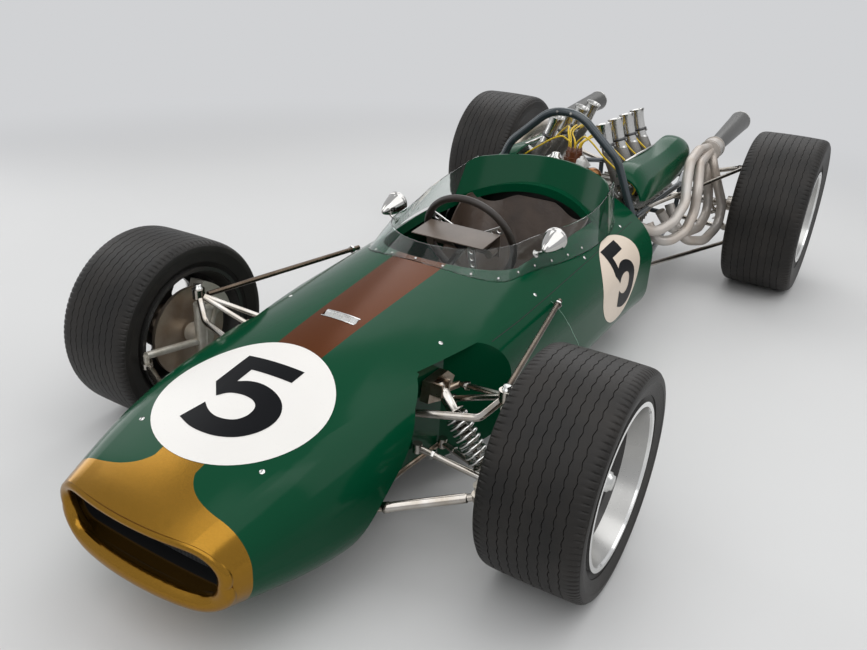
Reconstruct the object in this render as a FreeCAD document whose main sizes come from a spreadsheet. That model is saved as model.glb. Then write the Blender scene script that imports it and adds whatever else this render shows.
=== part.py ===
import FreeCAD, Part
import math
import os
import Sketcher
from FreeCAD import Placement, Rotation, Vector

# An open wheel racing car of the late nineteen sixties: a slim moulded body on a tube frame, a
# vee eight behind the driver and all four wheels out in the open on rods and arms.
# Millimetres, +Z up, the nose faces -Y and the car's left is +X.  Shapes are drawn with y = 0 at
# the front axle line, and each piece is then placed so that the origin is under the car's middle.

doc = FreeCAD.newDocument("open_wheel_car")
sheet = doc.addObject("Spreadsheet::Sheet", "Sizes")


class Size:
    """A length in millimetres together with the spreadsheet expression that gives it."""

    def __init__(self, value, text=None):
        self.value = float(value)
        self.text = text or "%.4f" % self.value

    def _pair(self, other, sign, value):
        other = other if isinstance(other, Size) else Size(other)
        return Size(value(self.value, other.value), "(%s %s %s)" % (self.text, sign, other.text))

    def __add__(self, other):
        return self._pair(other, "+", lambda a, b: a + b)

    def __sub__(self, other):
        return self._pair(other, "-", lambda a, b: a - b)

    def __mul__(self, other):
        return self._pair(other, "*", lambda a, b: a * b)

    def __truediv__(self, other):
        return self._pair(other, "/", lambda a, b: a / b)

    def __neg__(self):
        return Size(-self.value, "(0 - %s)" % self.text)


def driving(alias, value):
    """One row of the sheet: its name in column A, its number in column B under the same alias."""
    row = len(driving.rows) + 1
    driving.rows.append(alias)
    sheet.set("A%d" % row, alias)
    sheet.set("B%d" % row, str(value))
    sheet.setAlias("B%d" % row, alias)
    return Size(value, "Sizes." + alias)


driving.rows = []

# The driving dimensions.
wheelbase = driving("wheelbase", 2387)
middle_from_front_axle = driving("middle_from_front_axle", 1054)
front_track = driving("front_track", 1360)
rear_track = driving("rear_track", 1410)
front_tyre_radius = driving("front_tyre_radius", 288)
rear_tyre_radius = driving("rear_tyre_radius", 350)
front_tyre_width = driving("front_tyre_width", 260)
rear_tyre_width = driving("rear_tyre_width", 306)
rim_radius = driving("rim_radius", 207.5)
skin = driving("skin_thickness", 6)
cockpit_front = driving("cockpit_front", 365)
cockpit_rear = driving("cockpit_rear", 1225)
cockpit_half_width = driving("cockpit_half_width", 272)
seam_height = driving("seam_height", 445)
hoop_height = driving("hoop_height", 855)
hoop_tube = driving("hoop_tube_radius", 16)
steering_wheel_radius = driving("steering_wheel_radius", 160)
cylinder_pitch = driving("cylinder_pitch", 138)
primary_radius = driving("primary_pipe_radius", 21)
tailpipe_length = driving("tailpipe_length", 560)
disc_radius = driving("brake_disc_radius", 140)
hub_bore = driving("hub_bore_radius", 25.3)
stub_radius = driving("stub_axle_radius", 25)
doc.recompute()

PLACED = Placement(Vector(0, -middle_from_front_axle.value, 0), Rotation())
pieces = []


def keep(label, obj):
    """Give a finished document object its plain name and its place in the car."""
    obj.Label = label
    obj.Placement = PLACED.multiply(obj.Placement)
    pieces.append(obj)
    return obj


def keep_shape(label, shape):
    """A piece whose shape comes from Part's own functions."""
    obj = doc.addObject("Part::Feature", label)
    obj.Shape = shape
    return keep(label, obj)


def mirrored(shape):
    """The same piece on the car's other side."""
    return shape.mirror(Vector(0, 0, 0), Vector(1, 0, 0))


def both_sides(shape):
    return Part.makeCompound([shape, mirrored(shape)])


def rod(start, end, radius):
    """A straight round bar or tube between two points."""
    along = Vector(*end) - Vector(*start)
    return Part.makeCylinder(radius, along.Length, Vector(*start), along)


def bent_path(points, bend):
    """A wire of straight runs joined by tangent arcs of about one radius."""
    corners = [Vector(*point) for point in points]
    edges = []
    last = corners[0]
    for before, corner, after in zip(corners, corners[1:], corners[2:]):
        arriving = (corner - before).normalize()
        leaving = (after - corner).normalize()
        turn = arriving.getAngle(leaving)
        room = 0.45 * min((corner - before).Length, (after - corner).Length)
        cut = min(bend * math.tan(turn / 2), room)
        first = corner - arriving * cut
        second = corner + leaving * cut
        radius = cut / math.tan(turn / 2)
        inward = (leaving - arriving).normalize()
        middle = corner + inward * (radius / math.cos(turn / 2) - radius)
        edges.append(Part.LineSegment(last, first).toShape())
        edges.append(Part.Arc(first, middle, second).toShape())
        last = second
    edges.append(Part.LineSegment(last, corners[-1]).toShape())
    return Part.Wire(edges)


def bent_tube(points, radius, bend):
    """A round tube swept along a bent path."""
    path = bent_path(points, bend)
    start = Vector(*points[0])
    ring = Part.Wire(Part.makeCircle(radius, start, Vector(*points[1]) - start))
    return path.makePipeShell([ring], True, True)


def fused(shapes):
    return shapes[0].multiFuse(shapes[1:]).removeSplitter()


def abutted(shapes):
    """Welded tubes as separate solids: each one is cut off where it meets the ones before it."""
    done = [shapes[0]]
    for shape in shapes[1:]:
        rest = shape.cut(done)
        done.append(max(rest.Solids, key=lambda solid: solid.Volume))
    return done


def box(low, high):
    size = Vector(*high) - Vector(*low)
    return Part.makeBox(size.x, size.y, size.z, Vector(*low))


def turned_body(label, outline, centre):
    """A PartDesign body turned about the car's X axis from an outline of (along axle, radius)."""
    body = doc.addObject("PartDesign::Body", label)
    plane = [part for part in body.Origin.OriginFeatures if part.Role == "XY_Plane"][0]
    sketch = body.newObject("Sketcher::SketchObject", label + "_outline")
    sketch.AttachmentSupport = [(plane, "")]
    sketch.MapMode = "FlatFace"
    corners = [Vector(across.value, out.value, 0) for across, out in outline]
    for index, corner in enumerate(corners):
        sketch.addGeometry(Part.LineSegment(corner, corners[(index + 1) % len(corners)]), False)
    for index in range(len(corners)):
        after = (index + 1) % len(corners)
        sketch.addConstraint(Sketcher.Constraint("Coincident", index, 2, after, 1))
    for index, (across, out) in enumerate(outline):
        for kind, size in (("DistanceX", across), ("DistanceY", out)):
            number = sketch.addConstraint(Sketcher.Constraint(kind, index, 1, size.value))
            sketch.setExpression("Constraints[%d]" % number, size.text)
    turn = body.newObject("PartDesign::Revolution", label + "_turned")
    turn.Profile = sketch
    turn.ReferenceAxis = (sketch, ["H_Axis"])
    turn.Angle = 360
    body.Tip = turn
    body.Placement = Placement(Vector(*centre), Rotation())
    return body


# ---- Body: one skin lofted through upright sections ------------------------------------------
# Each section is a flat side between two tangent shoulders, closed by a crown and a belly arc.
# columns: station, half_width, side_low, side_high, crown, crown_radius, belly, belly_radius
BODY_SECTIONS = (
    (-790, 218, 236, 244, 300, 52, 178, 52),
    (-720, 246, 235, 250, 345, 85, 140, 85),
    (-600, 283, 230, 265, 382, 105, 102, 105),
    (-400, 329, 220, 285, 436, 130, 80, 120),
    (-200, 352, 220, 300, 480, 140, 75, 120),
    (0, 368, 220, 310, 510, 145, 75, 120),
    (350, 384, 220, 325, 552, 160, 75, 120),
    (600, 396, 220, 330, 585, 170, 75, 120),
    (1000, 410, 220, 340, 605, 170, 75, 120),
    (1420, 420, 220, 340, 600, 170, 75, 120),
)


def shoulder_points(half_width, side, height, radius):
    """Where a shoulder arc meets the side and the crown arc, as (x, rise above the side)."""
    reach = half_width - radius
    crown_radius = (reach**2 + height**2 - radius**2) / (2 * (height - radius))
    crown_centre = height - crown_radius
    turn = math.atan2(-crown_centre, reach)
    middle = (reach + radius * math.cos(turn / 2), radius * math.sin(turn / 2))
    meet = (reach + radius * math.cos(turn), radius * math.sin(turn))
    return middle, meet


def body_wire(row, inset):
    """One closed section, drawn a wall thickness inside the skin when inset is given."""
    station, half_width, side_low, side_high, crown, crown_radius, belly, belly_radius = row
    half_width -= inset
    crown -= inset
    belly += inset
    top_middle, top_meet = shoulder_points(half_width, side_high, crown - side_high, crown_radius - inset)
    low_middle, low_meet = shoulder_points(half_width, side_low, side_low - belly, belly_radius - inset)

    def at(across, height):
        return Vector(across, station, height)

    edges = []
    for side in (1, -1):
        upper = [at(side * x, side_high + rise) for x, rise in (top_middle, top_meet)]
        lower = [at(side * x, side_low - drop) for x, drop in (low_middle, low_meet)]
        side_top = at(side * half_width, side_high)
        side_bottom = at(side * half_width, side_low)
        stretch = [
            Part.Arc(lower[1], lower[0], side_bottom).toShape(),
            Part.LineSegment(side_bottom, side_top).toShape(),
            Part.Arc(side_top, upper[0], upper[1]).toShape(),
        ]
        if side == 1:
            edges += stretch
            crown_start = upper[1]
            belly_end = lower[1]
        else:
            edges.append(Part.Arc(crown_start, at(0, crown), upper[1]).toShape())
            edges += [Part.Arc(upper[1], upper[0], side_top).toShape(),
                      Part.LineSegment(side_top, side_bottom).toShape(),
                      Part.Arc(side_bottom, lower[0], lower[1]).toShape()]
            edges.append(Part.Arc(lower[1], at(0, belly), belly_end).toShape())
    return Part.Wire(edges)


def loft(wires):
    """A solid through a few wires, smooth to the third degree so that it can't ripple between them."""
    return Part.makeLoft(wires, True, False, False, 3)


outer_skin = loft([body_wire(row, 0) for row in BODY_SECTIONS])
inner_skin = loft([body_wire(row, skin.value) for row in BODY_SECTIONS])

# The nose is round in plan, and its cut leans back below so that the lower lip can be fatter.
nose_radius = 940
nose_centre = 186
lip_rake = 5.3
nose_sweep = Part.makeCylinder(nose_radius, 3200, Vector(0, nose_centre, -600), Vector(0, 0, 1))
nose_sweep.translate(Vector(0, 6, 0))
nose_sweep.rotate(Vector(0, -754, 330), Vector(1, 0, 0), lip_rake)
behind_nose = box((-700, 100, -100), (700, 2000, 1200))
nose_front = nose_sweep.fuse(behind_nose)
shell = outer_skin.cut(inner_skin).common(nose_front)

# The duct from the mouth back to the radiator, thin walled and wider towards the core.
# columns: as for the body sections
DUCT_SECTIONS = (
    (-800, 231, 236, 250, 312, 50, 182, 38),
    (-700, 233, 232, 256, 322, 56, 182, 42),
    (-566, 226, 200, 290, 356, 60, 142, 44),
)
duct_wall = 4
duct_outer = loft([body_wire(row, 0) for row in DUCT_SECTIONS])
duct_inner = loft([body_wire(row, duct_wall) for row in DUCT_SECTIONS])
duct_sweep = Part.makeCylinder(nose_radius - 14, 3200, Vector(0, nose_centre, -600), Vector(0, 0, 1))
duct = duct_outer.cut(duct_inner).common(duct_sweep)


# The rolled lip is thin above and fat below.  Its left half is a bar lofted through circles.
# columns: across, height, radius of the bar
LIP_SECTIONS = (
    (0, 319.3, 8.5),
    (110, 319.6, 9),
    (165, 319, 10.5),
    (212, 301, 12.5),
    (232.6, 243, 16),
    (208.6, 188.6, 20),
    (165, 173.5, 21.5),
    (110, 170.4, 23),
    (0, 170.2, 24),
)


def lip_centre(across, height, radius):
    """The middle of the bar, whose front touches the round plan of the nose."""
    return Vector(across, nose_centre - math.sqrt(nose_radius**2 - across**2) + radius, height)


def lip_circle(centre, run, radius):
    """A circle across the run whose seam always faces back, so that the loft can't twist."""
    ring = Part.Wire(Part.makeCircle(radius))
    ring.Placement = Placement(centre, Rotation(Vector(0, 1, 0), Vector(0, 0, 0), run, "ZXY"))
    return ring


def lip_bar(rows):
    """A bar through the table's rows and their mirror images, from one side round to the other."""
    rows = rows + [(-across, height, radius) for across, height, radius in reversed(rows[:-1])]
    middles = [lip_centre(*row) for row in rows]
    upright = Vector(0, 0, 1 if middles[1].z > middles[0].z else -1)
    runs = [upright] + [after - before for before, after in zip(middles, middles[2:])] + [-upright]
    return loft([lip_circle(middle, run, row[2]) for middle, run, row in zip(middles, runs, rows)])


lip_side = 4
upper_lip = lip_bar(list(reversed(LIP_SECTIONS[:lip_side + 1])))
lower_lip = lip_bar(list(LIP_SECTIONS[lip_side:]))
lip = upper_lip.fuse(lower_lip)
shell = shell.multiFuse([lip, duct])

# The hole the driver sits in: a round front, straight sides and a shallow round back.
shoulder_line = 560
side_front = 880
side_back = 1120
hole_front_width = 245


def hole_wire(grow):
    """The hole's edge in plan, moved outwards by a given distance."""
    front = Vector(0, cockpit_front.value - grow, 0)
    width = cockpit_half_width.value + grow
    corner = Vector(hole_front_width + grow, shoulder_line, 0)
    back = Vector(0, cockpit_rear.value + grow, 0)
    flip = Vector(-1, 1, 1)
    side_start = Vector(width, side_front, 0)
    side_end = Vector(width, side_back, 0)
    left = [corner, side_start, side_end]
    right = [Vector(point.x * flip.x, point.y, 0) for point in left]
    return Part.Wire([
        Part.Arc(right[0], front, left[0]).toShape(),
        Part.LineSegment(left[0], left[1]).toShape(),
        Part.LineSegment(left[1], left[2]).toShape(),
        Part.Arc(left[2], back, right[2]).toShape(),
        Part.LineSegment(right[2], right[1]).toShape(),
        Part.LineSegment(right[1], right[0]).toShape(),
    ])


def upright_prism(wire, low, high):
    prism = Part.Face(wire).extrude(Vector(0, 0, high - low))
    prism.translate(Vector(0, 0, low))
    return prism


cockpit_hole = upright_prism(hole_wire(0), 350, 950)
rolled_edge = upright_prism(hole_wire(0), 350, 950).cut(upright_prism(hole_wire(-9), 300, 1000))
deep_skin = loft([body_wire(row, 30) for row in BODY_SECTIONS])
coaming = rolled_edge.common(outer_skin).cut(deep_skin)

# The openings in the flanks that the front arms come out of.  Seen from the side they have a
# raked front edge; seen from above they reach in to a waisted wall beside the driver's legs.
notch_low = -349
notch_corner = -147
notch_top = -76
notch_rear = 330
keel_top = Vector(262, 0, 152)
keel_foot = Vector(130, 0, 72)
waist_sheet = 3
waist_plan = [Vector(228, -470, 0), Vector(250, -60, 0), Vector(262, 80, 0)]
waist_flare = [waist_plan[2], Vector(312, 182, 0), Vector(396, 276, 0)]
waist_shift = Vector(-waist_sheet, 0, 0)
# columns: station, height
NOTCH_RAKE = ((-470, 60), (-400, 150), (notch_low, 209), (notch_corner, 402), (notch_top, 438))
notch_rake = [Vector(keel_foot.x, station, height) for station, height in NOTCH_RAKE]
notch_side = notch_rake + [Vector(keel_foot.x, notch_top + 30, seam_height.value),
                           Vector(keel_foot.x, notch_rear, seam_height.value),
                           Vector(keel_foot.x, notch_rear, 30), Vector(keel_foot.x, -470, 30)]
notch_prism = Part.Face(Part.makePolygon(notch_side + notch_side[:1])).extrude(Vector(300, 0, 0))
outer_corners = [waist_flare[2], Vector(500, 276, 0), Vector(500, -600, 0), Vector(228, -600, 0)]
outside_waist = upright_prism(Part.Wire([
    Part.LineSegment(waist_plan[0], waist_plan[1]).toShape(),
    Part.LineSegment(waist_plan[1], waist_plan[2]).toShape(),
    Part.Arc(*waist_flare).toShape(),
    Part.LineSegment(outer_corners[0], outer_corners[1]).toShape(),
    Part.LineSegment(outer_corners[1], outer_corners[2]).toShape(),
    Part.LineSegment(outer_corners[2], outer_corners[3]).toShape(),
    Part.LineSegment(outer_corners[3], waist_plan[0]).toShape(),
]), 0, 700)
keel_room = Part.Face(Part.makePolygon([
    keel_top, keel_foot, Vector(keel_foot.x, 0, 0), Vector(keel_top.x + 200, 0, 0),
    Vector(keel_top.x + 200, 0, keel_top.z), keel_top,
])).extrude(Vector(0, 600, 0))
keel_room.translate(Vector(0, waist_plan[2].y - 600, 0))
notch = notch_prism.common(outside_waist.fuse(keel_room))
shell = shell.cut(cockpit_hole).cut(notch).cut(mirrored(notch)).fuse(coaming)
vent_slot = box((-54, -31, 470), (54, -13, 560))
shell = shell.cut(vent_slot)

waist_guard = outside_waist.fuse(mirrored(outside_waist))
upper_zone = box((-700, -900, seam_height.value), (700, 2000, 1200))
upper_zone = upper_zone.fuse(box((-700, -900, 0), (700, -60, 1200)))
belly_zone = box((-290, -60, 0), (290, 2000, 160))
keep_shape("upper_moulding", shell.common(upper_zone))
lower = shell.cut(upper_zone)
lower_pan = lower.common(belly_zone)
keel_edge = keel_top + (keel_foot - keel_top) * 0.04
keel_sheet = Part.Face(Part.makePolygon([
    keel_edge, keel_foot, keel_foot + Vector(0, 0, waist_sheet), keel_edge + Vector(0, 0, waist_sheet),
    keel_edge,
])).extrude(Vector(0, 520, 0))
keel_sheet.translate(Vector(0, waist_plan[2].y - 520, 0))
keel_rib = box((keel_foot.x, waist_plan[2].y, 60),
               (keel_edge.x, waist_plan[2].y + waist_sheet, keel_edge.z))
keel = keel_sheet.fuse(keel_rib).common(inner_skin).cut(waist_guard)
lower_pan = lower_pan.multiFuse([keel, mirrored(keel)])
keep_shape("belly_pan", lower_pan)

# The side panel turns in at the opening and runs forward as that waisted wall.
waist_wall = upright_prism(Part.Wire([
    Part.LineSegment(waist_plan[0], waist_plan[1]).toShape(),
    Part.LineSegment(waist_plan[1], waist_plan[2]).toShape(),
    Part.Arc(*waist_flare).toShape(),
    Part.LineSegment(waist_flare[2], waist_flare[2] + waist_shift).toShape(),
    Part.Arc(*[point + waist_shift for point in reversed(waist_flare)]).toShape(),
    Part.LineSegment(waist_plan[2] + waist_shift, waist_plan[1] + waist_shift).toShape(),
    Part.LineSegment(waist_plan[1] + waist_shift, waist_plan[0] + waist_shift).toShape(),
    Part.LineSegment(waist_plan[0] + waist_shift, waist_plan[0]).toShape(),
]), 60, seam_height.value - 1)
flanks = lower.cut(belly_zone)
left_flank = flanks.common(box((0, -100, 0), (700, 2000, 1200)))
waist = waist_wall.common(inner_skin).cut(keel_room).cut(lower_pan)
rack_hole = rod((200, -300, 190), (400, -300, 190), 28)
left_panel = max(left_flank.fuse(waist).cut(rack_hole).Solids, key=lambda solid: solid.Volume)
keep_shape("side_panel_left", left_panel)
keep_shape("side_panel_right", mirrored(left_panel))

# A folded metal strip closes the nose behind the raked edge of each opening.
strip_gauge = 2
strip_run = [point + Vector(4, 0, 0) for point in notch_rake]
strip_back = [point + Vector(0, -strip_gauge, strip_gauge) for point in reversed(strip_run)]
strip_wire = Part.makePolygon(strip_run + strip_back + strip_run[:1])
strip = Part.Face(strip_wire).extrude(Vector(200, 0, 0)).common(inner_skin).cut(left_panel).cut(lower_pan)
keep_shape("notch_strips", both_sides(strip))

# ---- Cockpit -----------------------------------------------------------------------------------


def arc_run(points, heading):
    """Edges through points in one plane, each one an arc that leaves the way the last one arrived."""
    edges = []
    for start, end in zip(points, points[1:]):
        chord = end - start
        turn = heading.getAngle(chord)
        if turn < 0.001:
            edges.append(Part.LineSegment(start, end).toShape())
            continue
        side = chord.cross(heading).cross(chord).normalize()
        middle = start + chord * 0.5 + side * (chord.Length / 2 * math.tan(turn / 2))
        edges.append(Part.Arc(start, middle, end).toShape())
        heading = chord * (2 * chord.dot(heading) / chord.dot(chord)) - heading
    return edges


def closed_wire(edges):
    return Part.Wire(Part.__sortEdges__(edges))


# The clear screen wraps round the hole from its nose to the hood.  It leans in as it rises.
# columns: height, front station, corner across, corner station, side across, side station, rear across
SCREEN_PLANS = ((540, 331, 243, 540, 296, 800, 299), (620, 436, 215, 630, 264, 860, 285))
screen_rear = 1250
screen_gauge = 3.5
screen_edge_low = 592
screen_edge_rear = 655
flange_width = 14
flange_gauge = 2.5


def screen_curve(height, inset):
    """Half of the screen's line in plan at one height, moved inwards by a given distance."""
    low, high = SCREEN_PLANS
    part = (height - low[0]) / (high[0] - low[0])
    places = [start + (end - start) * part for start, end in zip(low[1:], high[1:])]
    front, corner_x, corner_y, side_x, side_y, rear_x = places
    points = [Vector(0, front + inset, height),
              Vector(corner_x - inset * 0.8, corner_y + inset * 0.5, height),
              Vector(side_x - inset, side_y, height),
              Vector(rear_x - inset, screen_rear, height)]
    return arc_run(points, Vector(1, 0, 0))


def screen_band(height, outside, inside):
    """The closed plan of a strip that follows the screen round both sides."""
    outer = screen_curve(height, outside)
    inner = screen_curve(height, inside)
    ends = [edge[-1].Vertexes[-1].Point for edge in (outer, inner)]
    left = outer + inner + [Part.LineSegment(ends[0], ends[1]).toShape()]
    return closed_wire([edge for half in (left, [mirrored(edge) for edge in left]) for edge in half])


def leaning_wall(outside, inside, low, high):
    bands = [screen_band(height, outside, inside) for height in (low, high)]
    return Part.makeLoft(bands, True, True)


edge_outline = Part.Wire([
    Part.LineSegment(Vector(0, 200, screen_edge_low), Vector(0, 830, screen_edge_low)).toShape(),
    Part.Arc(Vector(0, 830, screen_edge_low), Vector(0, 1060, 613),
             Vector(0, 1260, screen_edge_rear)).toShape(),
    Part.LineSegment(Vector(0, 1260, screen_edge_rear), Vector(0, 1260, 400)).toShape(),
    Part.LineSegment(Vector(0, 1260, 400), Vector(0, 200, 400)).toShape(),
    Part.LineSegment(Vector(0, 200, 400), Vector(0, 200, screen_edge_low)).toShape(),
])
edge_prism = Part.Face(edge_outline).extrude(Vector(800, 0, 0))
edge_prism.translate(Vector(-400, 0, 0))
raised_skin = loft([body_wire(row, -flange_gauge) for row in BODY_SECTIONS])
screen_wall = leaning_wall(0, screen_gauge, 500, 690).common(edge_prism)
flange = upright_prism(screen_band(540, -flange_width, screen_gauge), 450, 650).common(raised_skin)
keep_shape("windscreen", screen_wall.fuse(flange).cut(outer_skin))

# The hood behind the driver's shoulders: a thin curved panel that stands on the skin inside the
# screen, leans back, and ends above in an arch with a rolled edge.
# columns: height, middle station, side across, side station
HOOD_PLANS = ((480, 1209, 296, 1090), (740, 1334, 281, 1230))
hood_gauge = 5
hood_roll = 11


def hood_band(row, gauge):
    height, middle, across, side = row
    arc = Part.Arc(Vector(-across, side, height), Vector(0, middle, height),
                   Vector(across, side, height)).toShape()
    back = arc.copy()
    back.translate(Vector(0, gauge, 0))
    ends = [Part.LineSegment(Vector(x, side, height), Vector(x, side + gauge, height)).toShape()
            for x in (-across, across)]
    return closed_wire([arc, back] + ends)


def hood_arch(inset):
    """The arch that the hood is cut to, seen from the front."""
    foot = Vector(300 - inset, 0, 480)
    spring = Vector(300 - inset, 0, 590)
    shoulder = Vector(250 - inset * 0.5, 0, 662 - inset)
    crown = Vector(0, 0, 683 - inset)
    flip = [Vector(-point.x, 0, point.z) for point in (foot, spring, shoulder)]
    middle = Vector(285 - inset * 0.8, 0, 640 - inset * 0.7)
    wire = Part.Wire([
        Part.LineSegment(flip[0], foot).toShape(),
        Part.LineSegment(foot, spring).toShape(),
        Part.Arc(spring, middle, shoulder).toShape(),
        Part.Arc(shoulder, crown, flip[2]).toShape(),
        Part.Arc(flip[2], Vector(-middle.x, 0, middle.z), flip[1]).toShape(),
        Part.LineSegment(flip[1], flip[0]).toShape(),
    ])
    prism = Part.Face(wire).extrude(Vector(0, 600, 0))
    prism.translate(Vector(0, 900, 0))
    return prism


hood_sheet = Part.makeLoft([hood_band(row, hood_gauge) for row in HOOD_PLANS], True, True)
hood_edge = Part.makeLoft([hood_band(row, hood_roll) for row in HOOD_PLANS], True, True)
hood = hood_sheet.fuse(hood_edge.cut(hood_arch(7))).common(hood_arch(0))
screen_room = leaning_wall(-40, screen_gauge + 1, 470, 740)
hood = hood.cut(outer_skin).cut(screen_room).cut(raised_skin.common(flange))
keep_shape("headrest_hood", hood)

# The seat is a pan moulded in one piece with the cockpit's lining, cut down in front of the hips.
# columns: height, front, back, half width, corner radius
SEAT_SECTIONS = ((122, 700, 1010, 190, 70), (300, 600, 1090, 214, 90), (545, 560, 1221, 252, 130))
seat_gauge = 5


def seat_wire(row, inset):
    height, front, back, half, corner = row
    front += inset
    back -= inset
    half -= inset
    corner -= inset
    cut = corner * (1 - math.sqrt(0.5))
    edges = []
    for side in (1, -1):
        edges.append(Part.LineSegment(Vector(side * half, front + corner, height),
                                      Vector(side * half, back - corner, height)).toShape())
        for end, way in ((front, 1), (back, -1)):
            edges.append(Part.Arc(Vector(side * half, end + way * corner, height),
                                  Vector(side * (half - cut), end + way * cut, height),
                                  Vector(side * (half - corner), end, height)).toShape())
    for end in (front, back):
        edges.append(Part.LineSegment(Vector(corner - half, end, height),
                                      Vector(half - corner, end, height)).toShape())
    return closed_wire(edges)


seat_inside = [(row[0] + seat_gauge,) + row[1:] if row is SEAT_SECTIONS[0] else row
               for row in SEAT_SECTIONS]
seat_shell = loft([seat_wire(row, 0) for row in SEAT_SECTIONS])
seat_shell = seat_shell.cut(loft([seat_wire(row, seat_gauge) for row in seat_inside]))
slope_points = [Vector(0, 500, 175), Vector(0, 760, 250), Vector(0, 960, 430), Vector(0, 1240, 540)]
seat_slope = Part.Wire(arc_run(slope_points, Vector(0, 1, 0)))
seat_slope = Part.Face(closed_wire(seat_slope.Edges + [
    Part.LineSegment(Vector(0, 1240, 540), Vector(0, 1240, 700)).toShape(),
    Part.LineSegment(Vector(0, 1240, 700), Vector(0, 500, 700)).toShape(),
    Part.LineSegment(Vector(0, 500, 700), Vector(0, 500, 175)).toShape()]))
above_seat = seat_slope.extrude(Vector(600, 0, 0))
above_seat.translate(Vector(-300, 0, 0))
seat_room = upright_prism(hole_wire(-3), 100, 700).fuse(box((-400, 300, 60), (400, 1300, 440)))
keep_shape("seat", seat_shell.cut(above_seat).common(seat_room).cut(shell))

# The instrument panel hangs from a cowl sheet under the screen, with five round cases on its front.
panel_sheet = fused([box((-128, 530, 575), (128, 652, 578)), box((-128, 649, 500), (128, 652, 578))])
# columns: across, height, radius of each instrument
GAUGES = ((0, 540, 34), (-74, 545, 24), (74, 545, 24), (-108, 520, 14), (108, 520, 14))
gauges = [rod((across, 612, height), (across, 658, height), radius) for across, height, radius in GAUGES]
instrument_panel = fused([panel_sheet] + gauges)
instrument_panel.rotate(Vector(0, 640, 560), Vector(1, 0, 0), 6)
column = rod((0, -60, 250), (0, 672, 518), 11)
keep_shape("instrument_panel", instrument_panel.cut(rod((0, -60, 250), (0, 760, 550), 40)))
keep_shape("steering_column", column)

wheel_rim = Part.makeTorus(steering_wheel_radius.value, 12)
wheel_hub = Part.makeCylinder(30, 12, Vector(0, 0, -6))
spoke = Part.makeBox(steering_wheel_radius.value - 4, 26, 4, Vector(0, -13, -2))
for hole in (52, 80, 108, 132):
    spoke = spoke.cut(Part.makeCylinder(8, 20, Vector(hole, 0, -10)))
spokes = [spoke.copy() for turn in range(3)]
for turn, arm in enumerate(spokes):
    arm.rotate(Vector(0, 0, 0), Vector(0, 0, 1), 90 + 120 * turn)
steering_wheel = fused([wheel_rim, wheel_hub] + spokes)
column_rake = math.degrees(math.atan2(518 - 250, 672 + 60))
steering_wheel.Placement = Placement(Vector(0, 690, 524), Rotation(Vector(1, 0, 0), -(90 - column_rake)))
keep_shape("steering_wheel", steering_wheel)

# Each mirror is a bullet turned about the car's length, on a short bent stem through the skin.
mirror_half = Part.Wire([
    Part.Arc(Vector(0, -94, 0), Vector(33, -62, 0), Vector(44, -4, 0)).toShape(),
    Part.LineSegment(Vector(44, -4, 0), Vector(46, 6, 0)).toShape(),
    Part.LineSegment(Vector(46, 6, 0), Vector(41, 8, 0)).toShape(),
    Part.LineSegment(Vector(41, 8, 0), Vector(0, 2, 0)).toShape(),
    Part.LineSegment(Vector(0, 2, 0), Vector(0, -94, 0)).toShape(),
])
mirror_bullet = Part.Face(mirror_half).revolve(Vector(0, 0, 0), Vector(0, 1, 0), 360)
mirror_bullet.translate(Vector(293, 720, 600))
mirror_foot = rod((314, 672, 500), (314, 672, 549), 16)
mirror_stem = bent_tube([(314, 672, 500), (314, 674, 556), (300, 690, 575)], 6, 30)
mirror = fused([mirror_bullet, mirror_stem, mirror_foot]).cut(outer_skin)
keep_shape("mirrors", both_sides(mirror.cut(screen_wall.fuse(flange))))

# ---- Frame, hoop and radiator ------------------------------------------------------------------
hoop_points = [(-315, 1443, 470), (-225, 1425, 690), (-60, 1412, hoop_height.value - 16),
               (60, 1412, hoop_height.value - 16), (225, 1425, 690), (315, 1443, 470)]
hoop_tube_shape = bent_tube(hoop_points, hoop_tube.value, 140)
hoop_plate = fused([box((311, 1424, 400), (319, 1468, 500)),
                    rod((311, 1446, 400), (319, 1446, 400), 22)])
hoop = fused([hoop_tube_shape, hoop_plate, mirrored(hoop_plate)])
keep_shape("roll_hoop", hoop)
rear_rails = [rod((322, 1443, 480), (322, 2060, 480), 12), rod((322, 2060, 480), (215, 2560, 400), 12),
              rod((330, 1443, 150), (205, 2560, 190), 13), rod((330, 1443, 150), (322, 1443, 480), 13),
              rod((205, 2560, 190), (215, 2560, 400), 12)]
cross_tubes = [rod((-330, 1443, 150), (330, 1443, 150), 13), rod((-215, 2560, 400), (215, 2560, 400), 12),
               rod((-205, 2560, 190), (205, 2560, 190), 12)]
frame_tubes = abutted([hoop] + rear_rails + [mirrored(tube) for tube in rear_rails] + cross_tubes)
space_frame = Part.makeCompound(frame_tubes[1:])
keep_shape("space_frame", space_frame)
core = box((-260, -640, 100), (260, -596, 400)).common(duct_inner)
keep_shape("radiator", core)

# ---- Engine and gearbox ------------------------------------------------------------------------
first_cylinder = 1580
last_cylinder = first_cylinder + 3 * cylinder_pitch.value
engine_front = first_cylinder - 85
engine_rear = last_cylinder + 85
block = box((-150, engine_front, 110), (150, engine_rear, 330))
bank = box((-75, engine_front + 6, 0), (75, engine_rear - 6, 250))


def on_bank(shape):
    """Lean a shape drawn over the crankshaft out to the left bank of the vee."""
    leaned = shape.copy()
    leaned.rotate(Vector(0, 0, 0), Vector(0, 1, 0), 42)
    leaned.translate(Vector(0, 0, 240))
    return leaned


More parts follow.
